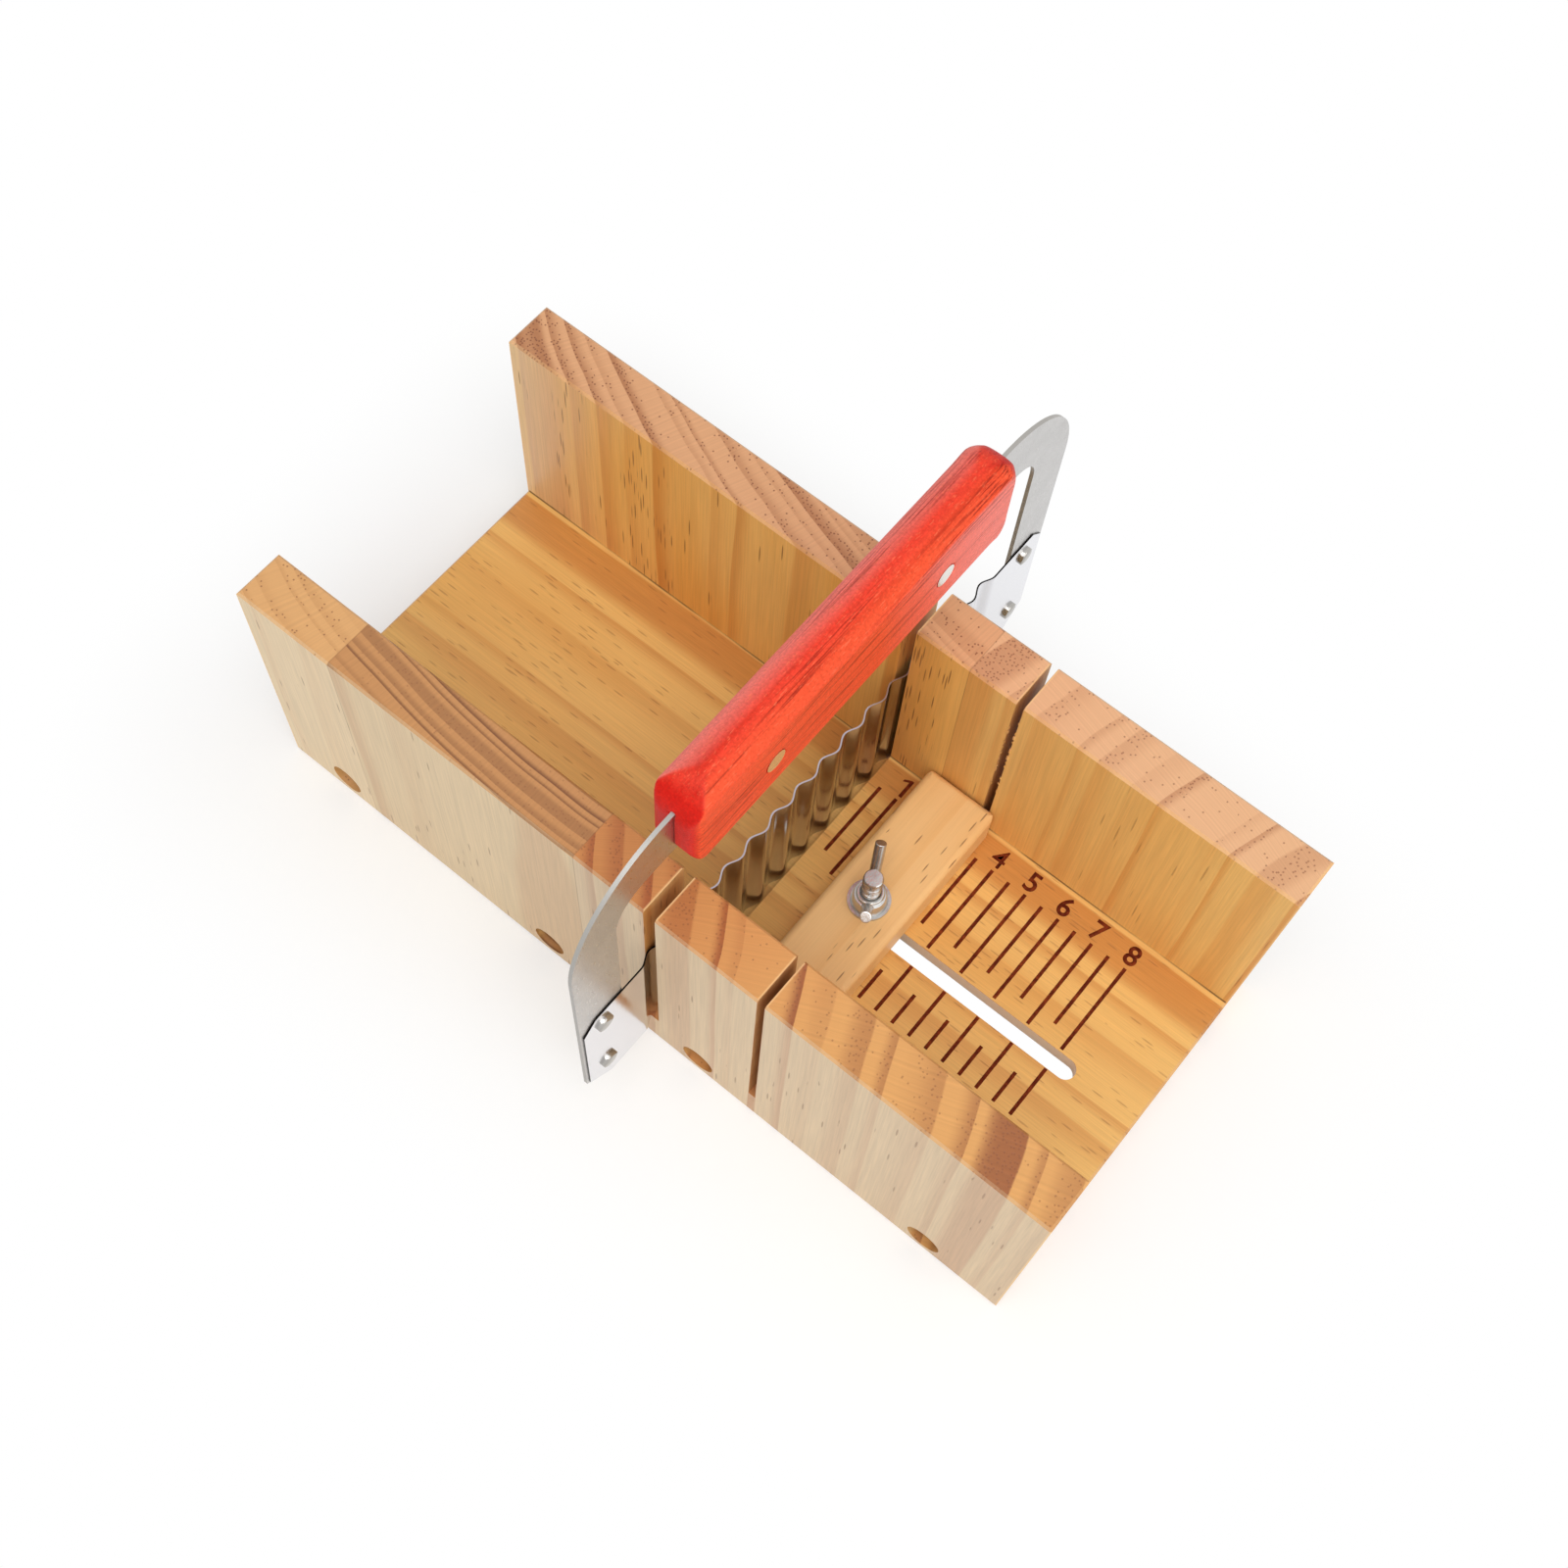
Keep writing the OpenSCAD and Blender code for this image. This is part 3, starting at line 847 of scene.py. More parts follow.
@dataclass
class CuttingBox:
    """The base board and the two walls, each glued up from staves of pine."""

    splinter_count: int = 34
    splinter_length: float = 2.2
    splinter_thickness: float = 0.45
    splinter_span: tuple[float, float] = (34.0, 72.0)

    def build(self) -> None:
        """Dresses the timber and the screws and lifts the torn fibres."""
        for node, timber in self._timbers().items():
            dress(node, timber.build())
        steel = Metal("blackened_screw_steel", "#3A3531", 0.45, (0.4, 0.4, 0.4), tint="#221D1A").build()
        dress("front_wall_screws", steel)
        dress("back_wall_screws", steel)
        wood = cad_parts["back_wall_right_stave"].data.materials[0]
        show_mesh("torn_slot_fibres", self._torn_fibres(wood), "box", wood)

    def _timbers(self) -> dict[str, Pine]:
        """Describes each timber: where its pith lay and how its rings and ducts show.

        Returns:
            The pine of each CAD node.
        """
        stave = partial(Pine, grain=Axis.Z, walled=True)
        # The walls' outer faces get paler colours that are painted sheen
        few_ducts, outer_sheen = (0.0, 0.2), ("#DCC29A", "#CCA679")
        return {
            "base_board": Pine(
                "base_board_pine", Axis.X, (-190.0, -75.0), 9.8, ("#EABA6C", "#C67F38"),
                ("#D6A26C", "#B5793F"), duct_size=(0.36, 2.8), duct_share=(0.22, 0.65),
                duct_colour="#9A6232", stain="#E0A552", slotted=True, seed=1.3),
            "front_wall_left_stave": stave(
                "front_left_pine", pith=(-70.0, 40.0), ring=4.2, face=("#E0B377", "#CB8F4C"),
                end=("#DDA76C", "#BE8650"), outer=("#E4CBA4", "#D8B487"), joints=FRONT_JOINTS[:1],
                contrast=0.7, duct_share=few_ducts, seed=2.1),
            "front_wall_middle_stave": stave(
                "front_middle_pine", pith=(-20.0, 300.0), ring=2.7, face=("#DBAA68", "#BC7F42"),
                end=("#C58C56", "#713F1E"), outer=outer_sheen, joints=FRONT_JOINTS,
                duct_share=few_ducts, warp=1.2, dots=0.3, seed=3.4),
            "front_wall_right_stave": stave(
                "front_right_pine", pith=(-95.0, -110.0), ring=8.2, face=("#E0B378", "#C98F50"),
                end=("#DA9F5C", "#8A441F"), outer=("#D8BE9A", "#C49C76"), heart=(6.0, 52.0, "#B8622C"),
                joints=FRONT_JOINTS[1:], duct_share=few_ducts, dots=0.45, late_from=0.25, seed=4.2),
            "back_wall_left_stave": stave(
                "back_left_pine", pith=(60.0, 310.0), ring=4.3, face=("#F1BE6C", "#CC8036"),
                end=("#DEA577", "#AA6C42"), outer=outer_sheen, sap=(-112.0, -80.0, "#EDD3A6"),
                joints=(BACK_JOINT,), duct=0.95, duct_size=(0.3, 5.5), duct_share=(0.0, 0.12),
                clusters=((14.5, 6.0), (-74.0, 6.0), (-65.0, 3.0), (-98.0, 2.5)), stain="#E8A648",
                dots=0.8, late_from=0.2, seed=5.9),
            "back_wall_right_stave": stave(
                "back_right_pine", pith=(220.0, 2.5), ring=8.0, face=("#ECBE70", "#D9984C"),
                end=("#E4B083", "#BE845B"), outer=outer_sheen, joints=(BACK_JOINT,), contrast=0.85,
                duct=0.5, duct_size=(0.36, 7.0), duct_share=(0.0, 0.25), dots=0.6, late_from=0.35,
                stain="#EBB260", seed=6.6),
        }

    def _torn_fibres(self, wood: bpy.types.Material) -> bpy.types.Mesh:
        """Makes the slivers that the saw lifted along the narrow slot's edges inside the back wall.

        Args:
            wood: The stave's pine.

        Returns:
            The slivers as one mesh.
        """
        low, high = self.splinter_span
        recipe = Recipe("torn_fibres", {"Low": low, "High": high, "Slot": NARROW_SLOT[0],
                                        "Half slot": NARROW_SLOT[1] / 2, "Face": INNER_Y,
                                        "Length": self.splinter_length,
                                        "Thickness": self.splinter_thickness},
                        {"Count": self.splinter_count})
        size, node = recipe.inputs, recipe.node
        points = node("GeometryNodeMeshLine", sockets={"Count": size["Count"]})
        height = node("FunctionNodeRandomValue", sockets={2: size["Low"], 3: size["High"], 8: 11}, out=1)
        side = node("FunctionNodeRandomValue", sockets={8: 12}, out=1)
        side = node("Math GREATER_THAN", side, 0.55)
        side = node("Math MULTIPLY_ADD", side, 2.0, -1.0)
        x = node("Math MULTIPLY_ADD", side, size["Half slot"], size["Slot"])
        where = node("CombineXYZ", x, size["Face"], height)
        points = node("GeometryNodeSetPosition", points, sockets={"Position": where})
        sliver = node("GeometryNodeMeshCone", sockets={"Vertices": 5, "Radius Top": 0.0,
                                                       "Radius Bottom": size["Thickness"],
                                                       "Depth": size["Length"]})
        turn, stretch = (
            node("FunctionNodeRandomValue", sockets={0: least, 1: most, 8: seed}, data_type="FLOAT_VECTOR")
            for least, most, seed in (((-0.35, -0.45, 0.0), (0.1, 0.45, 6.28), 13),
                                      ((0.5, 0.5, 0.5), (1.0, 1.0, 1.5), 14)))
        stretch = node("VectorMath MULTIPLY", stretch, (1.0, 1.0, 0.5))
        slivers = node("GeometryNodeInstanceOnPoints", points,
                       sockets={"Instance": sliver, "Rotation": turn, "Scale": stretch})
        return recipe.bake(slivers, wood)


@dataclass
class Scale:
    """The centimetre scale burnt into the base board: marks every half centimetre and plain numerals.

    In back are where the back marks start, where the half marks end and where the centimetre marks end.
    In front are where the centimetre marks start, where the half marks start and where both end.
    """

    zero: float = 8.02
    step: float = 10.0
    width: float = 0.95
    back: tuple[float, float, float] = (29.8, 7.5, 3.3)
    front: tuple[float, float, float] = (-2.85, -8.2, -17.35)
    numeral_foot: float = 30.8
    numeral_height: float = 5.5
    numeral_shift: float = 0.5
    numeral_weight: float = 0.018
    # The 4 has thin strokes, and the 1 a long flag and no foot
    four_weight: float = 0.004
    one: tuple[tuple[float, float], ...] = ((0.4, 0.0), (1.35, 0.0), (1.35, 5.5), (0.6, 5.5), (-1.15, 4.6),
                                            (-1.15, 3.95), (0.4, 4.65))
    proud: float = 0.04

    def build(self) -> None:
        """Makes the marks and the numerals."""
        burnt = BurntPine().build()
        rows = {
            "back_centimetre_marks": (1.0, 8, self.back[0], self.back[2]),
            "back_half_marks": (0.5, 8, self.back[0], self.back[1]),
            "front_centimetre_marks": (2.0, 7, self.front[0], self.front[2]),
            "front_half_marks": (1.5, 7, self.front[1], self.front[2]),
        }
        for name, (first, count, start, end) in rows.items():
            mesh = self._marks(name, first, count, start, end, burnt)
            show_mesh(name, mesh, "box", burnt)
        show_mesh("scale_numerals", self._numerals(), "box", burnt)

    def _marks(self, name: str, first: float, count: int, start: float, end: float,
               burnt: bpy.types.Material) -> bpy.types.Mesh:
        """Makes a row of equal marks, each a shallow burn whose edges waver a little.

        Args:
            name: The tree's name.
            first: The first mark's number on the scale.
            count: How many marks there are.
            start: Where each mark starts across the box, in millimetres.
            end: Where each mark ends.
            burnt: The charred wood.

        Returns:
            The marks as one mesh.
        """
        recipe = Recipe(name, {"First": self.zero + self.step * first, "Step": self.step, "Start": start,
                               "End": end, "Width": self.width, "Proud": self.proud}, {"Count": count})
        size, node = recipe.inputs, recipe.node
        ends = [node("CombineXYZ", 0.0, size[label], 0.0) for label in ("Start", "End")]
        line = node("GeometryNodeCurvePrimitiveLine", *ends)
        line = node("GeometryNodeResampleCurve", line, sockets={"Count": 24})
        # The mark's width wavers every 1.4 mm or so
        waver = node("TexNoise", sockets={"Scale": 700.0, "Detail": 1.0})
        radius = node("MapRange", waver, 0.3, 0.7, 0.92, 1.06)
        line = node("GeometryNodeSetCurveRadius", line, sockets={"Radius": radius})
        profile = node("GeometryNodeCurvePrimitiveCircle", sockets={"Resolution": 12, "Radius": 0.5})
        shape = node("CombineXYZ", size["Width"], size["Proud"], 1.0)
        profile = node("GeometryNodeTransform", profile, sockets={"Scale": shape})
        mark = node("GeometryNodeCurveToMesh", line, profile, sockets={"Scale": radius, "Fill Caps": True})
        place = node("CombineXYZ", size["First"], 0.0, BASE_TOP * MM)
        pitch = node("CombineXYZ", size["Step"], 0.0, 0.0)
        return recipe.bake(recipe.row(mark, size["Count"], pitch, place), burnt)

    def _numerals(self) -> bpy.types.Mesh:
        """Makes the numerals 1 to 8 as thin plates of char.

        Returns:
            The numerals as one mesh.
        """
        points, faces, smooth = [], [], []
        drop = Vector((0.0, 0.0, -2 * self.proud * MM))
        for number in range(1, 9):
            curve = bpy.data.curves.new("numeral", "FONT")
            curve.body = str(number)
            curve.offset = self.four_weight if number == 4 else self.numeral_weight
            curve.resolution_u = 6
            mesh = frozen(placed("numeral", curve))
            if number == 1:
                mesh.clear_geometry()
                mesh.from_pydata([(*point, 0.0) for point in self.one], [], [range(len(self.one))])
            low, high = ([pick(v.co[i] for v in mesh.vertices) for i in (0, 1)] for pick in (min, max))
            scale = self.numeral_height * MM / (high[1] - low[1])
            middle = (low[0] + high[0]) / 2
            x = self.zero + self.step * number - self.numeral_shift
            foot = (x * MM, self.numeral_foot * MM, (BASE_TOP + self.proud) * MM)
            mesh.transform(Matrix.Translation(foot) @ Matrix.Scale(scale, 4)
                           @ Matrix.Translation((-middle, -low[1], 0.0)))
            first, count = len(points), len(mesh.vertices)
            top = [v.co.copy() for v in mesh.vertices]
            points += [*top, *(point + drop for point in top)]
            rings = [[first + i for i in face.vertices] for face in mesh.polygons]
            faces += [*rings, *([i + count for i in reversed(ring)] for ring in rings)]
            # An edge that only one face has lies on the outline and gets a side
            edges = [edge for ring in rings for edge in zip(ring, ring[1:] + ring[:1])]
            faces += [(b, a, a + count, b + count) for a, b in edges if (b, a) not in edges]
            smooth += [number != 1] * (len(faces) - len(smooth))
            bpy.data.meshes.remove(mesh)
        plates = bpy.data.meshes.new("scale_numerals")
        plates.from_pydata(points, [], faces)
        plates.polygons.foreach_set("use_smooth", smooth)
        return plates


@dataclass
class Stop:
    """The sliding stop: a pine block, its bolt, a washer and a cast wing nut."""

    head_r: float = 6.5
    head_dome: float = 2.2
    head_rim: float = 0.6
    neck_half: float = 2.55
    bolt_r: float = 2.45
    root_r: float = 2.05
    tip_r: float = 2.35
    pitch: float = 0.8
    seat: float = 9.98
    neck_top: float = 13.2
    bolt_top: float = 39.5
    nut_voxel: float = 0.13

    def build(self) -> None:
        """Dresses the block and the washer and makes the bolt and the wing nut."""
        dress("stop_block", Pine("stop_block_pine", Axis.Y, (-70.0, -40.0), 13.0, ("#EFC385", "#E5AE6A"),
                                 ("#E4B47B", "#CC9458"), contrast=0.5, duct=0.8, duct_size=(0.3, 2.7),
                                 duct_share=(0.04, 0.42), duct_colour="#74401A", fibre=0.35, seed=7.7,
                                 stain="#E4AC66").build())
        zinc = Metal("zinc_plated_steel", "#E6E6E4", 0.22, (0.7, 0.7, 0.7), relief=0.9, bare=0.86,
                     tint="#908E8A").build()
        dress("washer", zinc)
        show_mesh("threaded_bolt", self._bolt(zinc), "stop", zinc, ["clamp_bolt"])
        show_mesh("cast_wing_nut", softened("wing_nut", self.nut_voxel), "nut", zinc,
                  ["wing_nut"])

    def _bolt(self, zinc: bpy.types.Material) -> bpy.types.Mesh:
        """Makes the bolt: a domed head, a square neck, a core, and a thread wound round it.

        Args:
            zinc: The bolt's plating.

        Returns:
            The bolt as one mesh.
        """
        centre, seat, top = (BLOCK_X, 0.0), self.seat, self.bolt_top
        bolt = bpy.data.meshes.new("threaded_bolt")
        with drawing(bolt) as shape:
            arc = [math.radians(9 * i) for i in range(1, 11)]
            head = [(self.head_r * math.sin(turn), seat - self.head_rim - self.head_dome * math.cos(turn))
                    for turn in arc]
            lathe(shape, [*head, (self.head_r, seat - 0.15), (self.head_r - 0.15, seat)], centre)
            low, side = seat - 0.4, 2 * self.neck_half * MM
            neck = bmesh.ops.create_cube(shape, size=1.0)["verts"]
            bmesh.ops.scale(shape, vec=(side, side, (self.neck_top - low) * MM), verts=neck)
            bmesh.ops.translate(shape, vec=(BLOCK_X * MM, 0, (self.neck_top + low) / 2 * MM), verts=neck)
            lathe(shape, [(self.root_r, self.neck_top - 0.5), (self.root_r, top - 1.4),
                          (self.tip_r, top - 1.0), (self.tip_r, top - 0.25), (self.tip_r - 0.25, top)],
                  centre)
            bmesh.ops.remove_doubles(shape, verts=shape.verts, dist=1e-6)
            bmesh.ops.recalc_face_normals(shape, faces=shape.faces)
            shape.from_mesh(self._thread(zinc))
        return bolt

    def _thread(self, zinc: bpy.types.Material) -> bpy.types.Mesh:
        """Winds the thread from the neck to just below the bolt's end.

        Args:
            zinc: The bolt's plating.

        Returns:
            The thread's ridge.
        """
        turns = (self.bolt_top - 0.35 - self.neck_top) / self.pitch
        recipe = Recipe("bolt_thread", {"Radius": self.root_r, "Rise": turns * self.pitch,
                                        "Ridge": self.bolt_r - self.root_r,
                                        "Ridge half": 0.46 * self.pitch}, {"Turns": turns})
        size, node = recipe.inputs, recipe.node
        helix = node("GeometryNodeCurveSpiral", 32, size["Turns"], size["Radius"], size["Radius"],
                     size["Rise"])
        profile = node("GeometryNodeCurvePrimitiveCircle", sockets={"Resolution": 4, "Radius": 1.0})
        shape = node("CombineXYZ", size["Ridge"], size["Ridge half"], 1.0)
        profile = node("GeometryNodeTransform", profile, sockets={"Scale": shape})
        ridge = node("GeometryNodeCurveToMesh", helix, profile, sockets={"Fill Caps": True})
        where = (BLOCK_X * MM, 0.0, self.neck_top * MM)
        return recipe.bake(node("GeometryNodeTransform", ridge, sockets={"Translation": where}), zinc)


@dataclass
class HandCutter:
    """The hand cutter: a wavy blade riveted to a sheet steel bow with a red wooden handle."""

    face: float = 8.7
    thickness: float = 0.4
    half: float = 84.2
    low: float = SLOT_FLOOR
    high: float = 55.0
    wave_length: float = 8.66
    wave_count: int = 15
    wave_depth: float = 1.5
    low_chamfer: float = 7.0
    high_chamfer: float = 4.0
    rivet_r: float = 2.35
    rivet_head: float = 1.5
    rivet_dome: float = 0.35
    rivet_grip: float = 1.4
    rivet_reach: float = 77.8
    rivet_foot: float = 22.6
    rivet_rise: float = 26.2
    rivet_x: float = 7.5
    handle_voxel: float = 0.36
    cad_rounds: tuple[float, float] = (8.0, 10.0)
    far_rounds: tuple[float, float] = (4.5, 8.5)
    far_reach: float = 3.8
    far_taper: float = 0.78
    far_bulge: float = 0.6
    kerf_half: float = 1.2

    def build(self) -> None:
        """Dresses the bow and the pins and makes the blade, the rivets and the handle."""
        bow = Metal("satin_stainless_sheet", "#CECCCA", 0.32, (3.0, 0.45, 1.6), relief=0.45, spread=0.12,
                    edge="#B0ADA8").build()
        dress("cutter_bow", bow)
        pin = Metal("faced_aluminium_pin", "#F0ECE4", 0.22, (0.3, 0.3, 0.3), relief=0.2).build()
        dress("handle_pins", pin)
        # The blade's tabs get a painted reflection and their edges a painted shadow
        polished = Metal("polished_stainless_sheet", "#B9B5AF", 0.15, (3.0, 0.8, 9.0), relief=0.1,
                         spread=0.06, edge="#BFBCC4", wiped=(47.0, "#E6E6EA", "#1E1A18")).build()
        show_mesh("polished_wavy_blade", self._blade(polished), "cutter", polished,
                  ["wavy_blade"])
        rivet = Metal("pressed_rivet_aluminium", "#D2CFCA", 0.18, (0.6, 0.6, 0.6), relief=0.4,
                      tint="#86827D").build()
        show_mesh("peened_rivets", self._rivets(rivet), "cutter", rivet, ["blade_rivets"])
        wood = StainedBeech().build()
        show_mesh("rounded_handle", self._handle(), "cutter", wood, ["handle"])

    def _handle(self) -> bpy.types.Mesh:
        """Softens the handle's edges and rounds its far end to a bullnose in plan.

        Returns:
            The handle's mesh.
        """
        mesh = softened("handle", self.handle_voxel)
        low, high = ([corner[i] / MM for i in range(3)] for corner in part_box("handle"))
        middle, half = (low[0] + high[0]) / 2, (high[0] - low[0]) / 2
        for vertex in mesh.vertices:
            x, y, z = (part / MM for part in vertex.co)
            if y < CUTTER_Y:
                continue
            over = z > (low[2] + high[2]) / 2
            rise, edge = (1, high[2]) if over else (-1, low[2])
            old, new = self.cad_rounds[over], self.far_rounds[over]
            u, v = eased(y - high[1] + old, rise * (z - edge) + old, old, new)
            y, z = high[1] + u - old, edge + rise * (v - old)
            sunk = new - math.sqrt(new * new - min(max(rise * (z - edge) + new, 0.0), new) ** 2)
            depth = min(1 - (high[1] - y - sunk) / self.far_reach, 1.0)
            if depth > 0:
                off = x - middle
                wide = min(max((abs(off) - self.kerf_half) / (half - self.kerf_half), 0.0), 1.0)
                x = middle + off * (1 - (1 - math.sqrt(1 - (self.far_taper * depth) ** 2)) * wide)
                y += self.far_bulge * depth ** 2 * (1 - (off / half) ** 2)
            vertex.co = (x * MM, y * MM, z * MM)
        mesh.update()
        return mesh

    def _blade(self, polished: bpy.types.Material) -> bpy.types.Mesh:
        """Makes the blade by its rule: a sheet whose middle follows a cosine wave.

        Args:
            polished: The blade's steel.

        Returns:
            The blade's mesh.
        """
        recipe = Recipe("wavy_blade", {
            "Face": self.face, "Thickness": self.thickness, "Half": self.half, "Low": self.low,
            "High": self.high, "Wave length": self.wave_length,
            "Wave half": self.wave_length * self.wave_count / 2, "Wave depth": self.wave_depth,
            "Low chamfer": self.low_chamfer, "High chamfer": self.high_chamfer, "Shift": CUTTER_Y}, {})
        size, node = recipe.inputs, recipe.node
        grid = node("GeometryNodeMeshGrid", 2.0, 1.0, 601, 9)
        place = node("SeparateXYZ", node("GeometryNodeInputPosition"), out=None)
        along = node("Math MULTIPLY", place[0], size["Half"])
        reach = node("Math ABSOLUTE", along)
        turn = node("Math DIVIDE", along, size["Wave length"])
        turn = node("Math MULTIPLY", turn, 2 * math.pi)
        wave = node("Math ADD", node("Math COSINE", turn), 1.0)
        waved = node("Math LESS_THAN", reach, size["Wave half"])
        wave = node.folded("MULTIPLY", wave, size["Wave depth"], waved)
        x = node("Math MULTIPLY_ADD", wave, -0.5, size["Face"])
        back = node("Math MULTIPLY_ADD", size["Thickness"], -0.5, x)
        y = node("Math ADD", along, size["Shift"])
        inset = node("Math SUBTRACT", size["Half"], reach)
        edges = []
        for edge, operation in (("Low", "ADD"), ("High", "SUBTRACT")):
            cut = node("Math SUBTRACT", size[edge + " chamfer"], inset)
            cut = node("Math MAXIMUM", cut, 0.0)
            edges.append(node("Math " + operation, size[edge], cut))
        z = node("MapRange", place[1], -0.5, 0.5, *edges)
        sheet = node("GeometryNodeSetPosition", grid, sockets={"Position": node("CombineXYZ", back, y, z)})
        push = node("CombineXYZ", size["Thickness"], 0.0, 0.0)
        front = node("GeometryNodeExtrudeMesh", sheet, sockets={"Offset": push, "Offset Scale": 1.0,
                                                                "Individual": False})
        both = node("GeometryNodeJoinGeometry", front)
        node.tree.links.new(node("GeometryNodeFlipFaces", sheet), both.node.inputs[0])
        solid = node("GeometryNodeMergeByDistance", both, sockets={"Distance": 1e-6})
        solid = node("GeometryNodeSetShadeSmooth", solid, True, True, domain="FACE")
        bend = node("GeometryNodeInputMeshEdgeAngle")
        sharp = node("FunctionNodeCompare", bend, math.radians(40), data_type="FLOAT",
                     operation="GREATER_THAN")
        solid = node("GeometryNodeSetShadeSmooth", solid, sharp, False, domain="EDGE")
        mesh = recipe.bake(solid, polished)
        with drawing(mesh) as shape:
            bmesh.ops.recalc_face_normals(shape, faces=shape.faces)
        return mesh

    def _rivets(self, metal: bpy.types.Material) -> bpy.types.Mesh:
        """Makes the four rivets, each with a domed head on both sides of the sheets.

        Args:
            metal: The rivets' metal.

        Returns:
            The rivets as one mesh.
        """
        recipe = Recipe("rivets", {
            "Head radius": self.rivet_r, "Head height": self.rivet_head, "Dome": self.rivet_dome,
            "Grip": self.rivet_grip, "Reach": self.rivet_reach, "Foot": self.rivet_foot,
            "Rise": self.rivet_rise, "Back": self.rivet_x, "Shift": CUTTER_Y}, {})
        size, node = recipe.inputs, recipe.node
        drum = node("GeometryNodeMeshCylinder", 32, 1, 5, size["Head radius"], size["Head height"])
        place = node("SeparateXYZ", node("GeometryNodeInputPosition"), out=None)
        flat = node("CombineXYZ", place[0], place[1], 0.0)
        off = node("VectorMath LENGTH", flat, out="Value")
        off = node("Math DIVIDE", off, size["Head radius"])
        off = node("Math POWER", off, 4.0)
        rise = node("Math SUBTRACT", 1.0, off)
        side = node("Math SIGN", place[2])
        dome = node("CombineXYZ", 0.0, 0.0, node.folded("MULTIPLY", rise, size["Dome"], side))
        drum = node("GeometryNodeSetPosition", drum, sockets={"Offset": dome})
        head = node("GeometryNodeTransform", drum, sockets={"Rotation": (0.0, math.pi / 2, 0.0)})
        rivet = recipe.row(head, 2, node("CombineXYZ", size["Grip"], 0.0, 0.0))
        column = recipe.row(rivet, 2, node("CombineXYZ", 0.0, 0.0, size["Rise"]))
        near = node("Math SUBTRACT", size["Shift"], size["Reach"])
        gap = node("Math MULTIPLY", size["Reach"], 2.0)
        rivets = recipe.row(column, 2, node("CombineXYZ", 0.0, gap, 0.0),
                            node("CombineXYZ", size["Back"], near, size["Foot"]))
        mesh = recipe.bake(rivets, metal)
        mesh.shade_smooth()
        return mesh


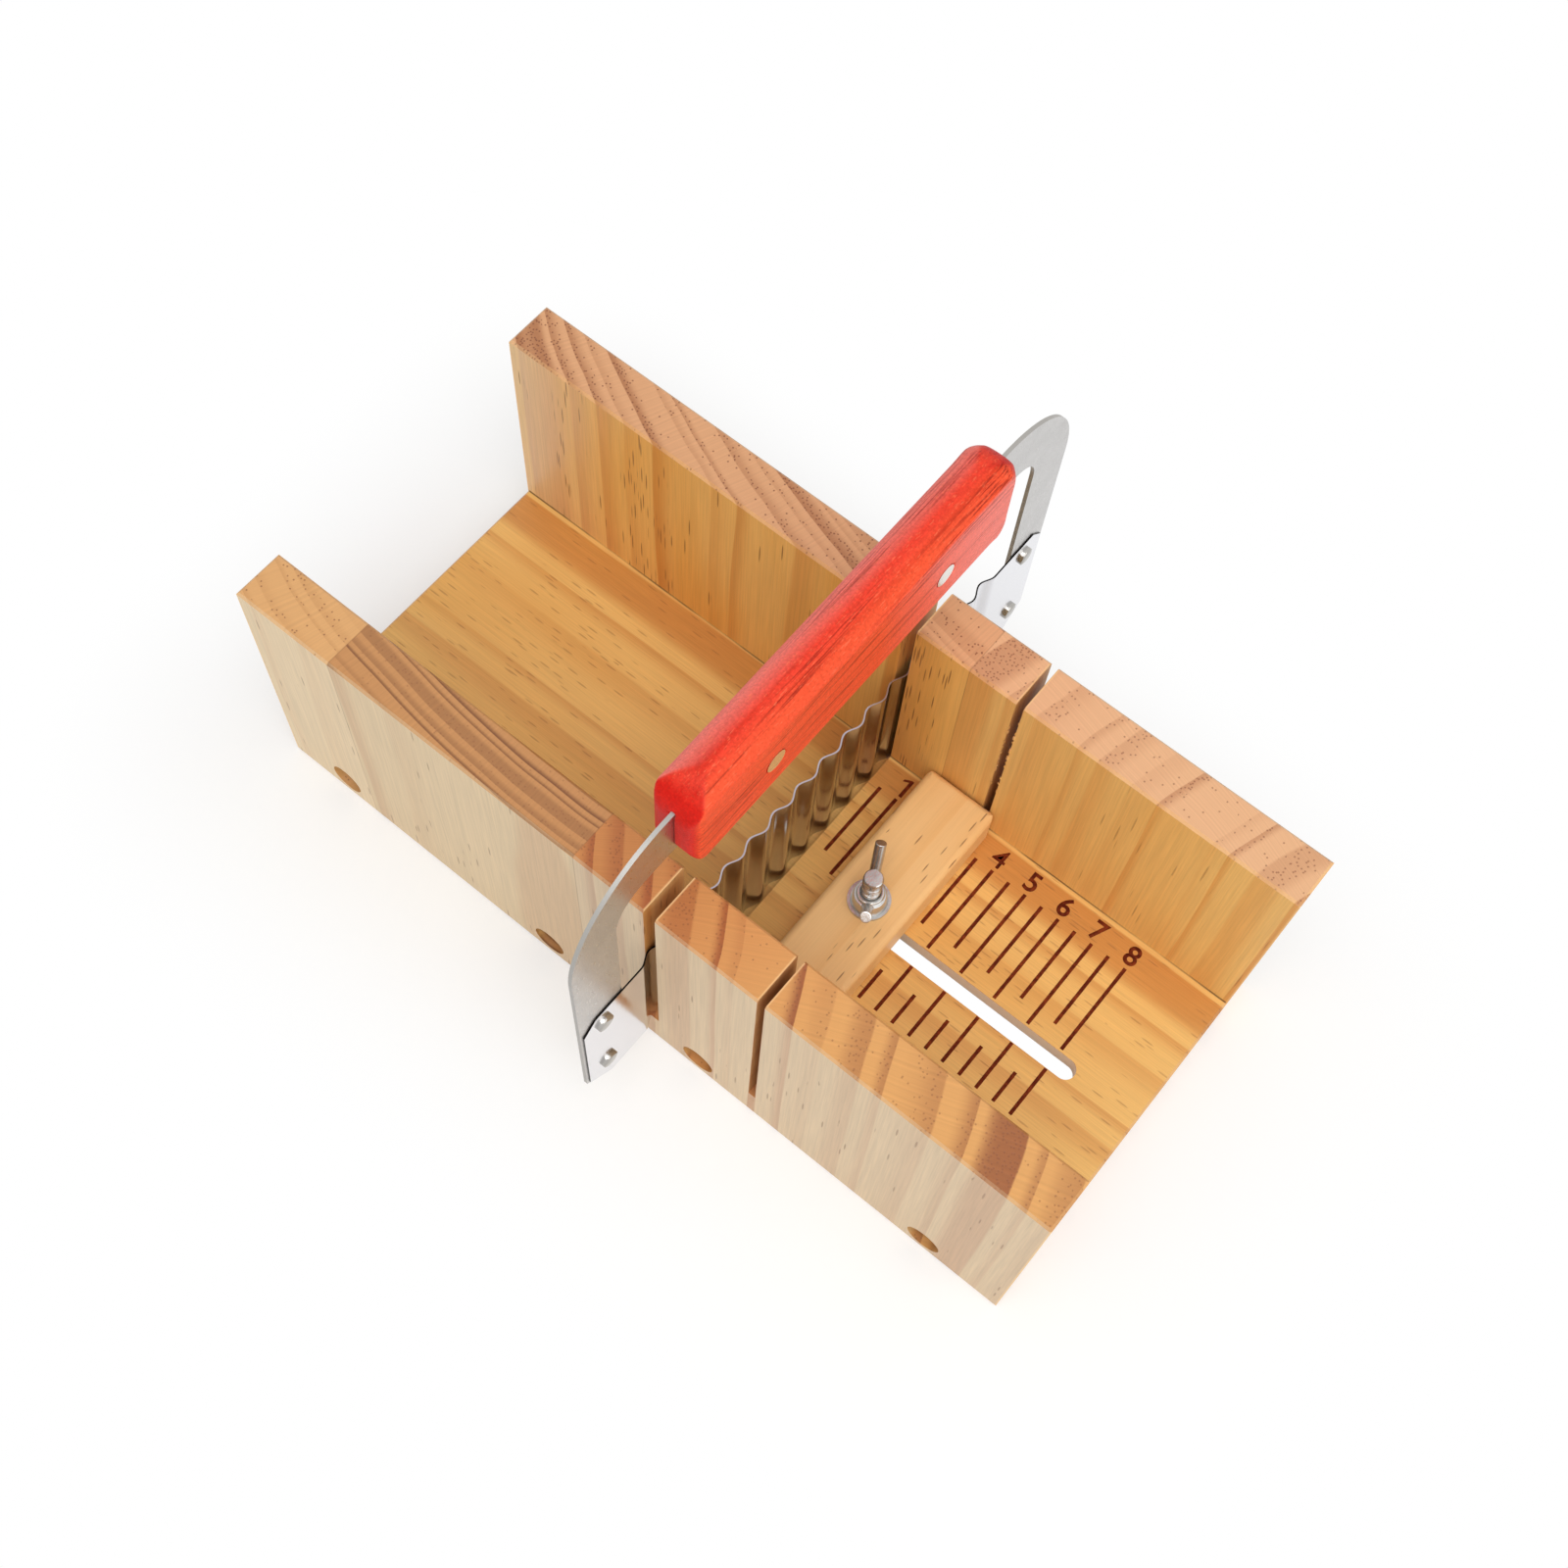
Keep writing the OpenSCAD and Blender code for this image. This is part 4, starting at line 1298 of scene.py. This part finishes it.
@dataclass
class Studio:
    """The camera at the photograph's angle, a pale floor, soft boxes and a white surround."""

    place: tuple[float, float, float] = (0.112007, -0.162664, 0.463153)
    sight: tuple[float, float, float] = (-0.22159, 0.31937, -0.92136)
    up: tuple[float, float, float] = (-0.59274, 0.70614, 0.38732)
    lens: float = 45.65
    shift: tuple[float, float] = (0.01586, 0.0558)
    floor_half: float = 4.0
    outline: tuple[float, float] = (0.112, 0.052)
    fade: float = 0.07
    surround: float = 0.54

    def build(self) -> None:
        """Builds the camera, the floor, the lamps and the world."""
        self._camera()
        self._floor()
        self._lamp("front_softbox", (0.28, -0.47, 1.07), 0.9, 7.4)
        self._lamp("side_softbox", (0.95, -0.05, 0.6), 0.8, 2.4)
        self._world()
        bpy.context.scene.view_settings.view_transform = "Standard"

    def _camera(self) -> None:
        """Places the camera where the photograph was taken from."""
        data = bpy.data.cameras.new("camera")
        data.sensor_width = 36.0
        data.lens = self.lens
        data.shift_x, data.shift_y = self.shift
        data.clip_start, data.clip_end = 0.01, 20.0
        camera = placed("camera", data)
        sight, up = Vector(self.sight).normalized(), Vector(self.up)
        right = sight.cross(up).normalized()
        turn = Matrix((right, right.cross(sight), -sight)).transposed().to_4x4()
        camera.matrix_world = Matrix.Translation(self.place) @ turn
        bpy.context.scene.camera = camera

    def _lamp(self, name: str, place: tuple[float, float, float], size: float, watts: float) -> None:
        """Adds a soft box that faces the object.

        Args:
            name: The lamp's name.
            place: Where it hangs, in metres.
            size: The length of its sides in metres.
            watts: Its power.
        """
        data = bpy.data.lights.new(name, "AREA")
        data.size = size
        data.energy = watts
        lamp = placed(name, data)
        lamp.location = place
        lamp.rotation_mode = "QUATERNION"
        lamp.rotation_quaternion = (Vector((0, 0, 0.04)) - Vector(place)).to_track_quat("-Z", "Y")

    def _floor(self) -> None:
        """Lays a pale floor that keeps the shadow and turns white further out and under the box."""
        surface = Surface("pale_floor")
        node, place = surface.node, surface.place
        # How far a point lies outside the box's outline, over which the shadow fades to white
        reach = node("VectorMath ABSOLUTE", place)
        reach = node("VectorMath SUBTRACT", reach, (*self.outline, 0.0))
        reach = node("VectorMath MAXIMUM", reach, (0.0, 0.0, 0.0))
        reach = node("VectorMath LENGTH", reach, out="Value")
        far = node("MapRange", reach, 0.0, self.fade, 0.35, 1.0, **SOFT_STEP)
        under = node("VectorMath MULTIPLY", place, (*(1 / (half - 0.002) for half in self.outline), 0.0))
        under = node("SeparateXYZ", node("VectorMath ABSOLUTE", under), out=None)
        under = node("Math MAXIMUM", under[0], under[1])
        under = node("Math LESS_THAN", under, 1.0)
        far = node("Math MAXIMUM", far, under)
        mix = node("Math MULTIPLY", far, node.seen())
        matt = node("BsdfDiffuse", linear("#FAFAF9"))
        node("OutputMaterial", node("MixShader", mix, matt, node("Emission", WHITE, 1.0)), out=None)
        side = self.floor_half
        mesh = bpy.data.meshes.new("floor")
        mesh.from_pydata([(-side, -side, 0), (side, -side, 0), (side, side, 0), (-side, side, 0)], [],
                         [(0, 1, 2, 3)])
        mesh.materials.append(surface.material)
        placed("floor", mesh)

    def _world(self) -> None:
        """Surrounds the scene with white, seen at full strength and lighting at a lower one."""
        world = bpy.data.worlds.new("white_surround")
        world.use_nodes = True
        node = Nodes(world.node_tree)
        lit, shown = (node("Background", WHITE, strength) for strength in (self.surround, 1.0))
        node("OutputWorld", node("MixShader", node.seen(), lit, shown), out=None)
        bpy.context.scene.world = world


def main() -> None:
    """Builds the studio and then the object, piece by piece."""
    logging.basicConfig(level=logging.INFO, format="%(name)s: %(message)s")
    Studio().build()
    CuttingBox().build()
    Scale().build()
    Stop().build()
    HandCutter().build()


if __name__ == "__main__":
    main()
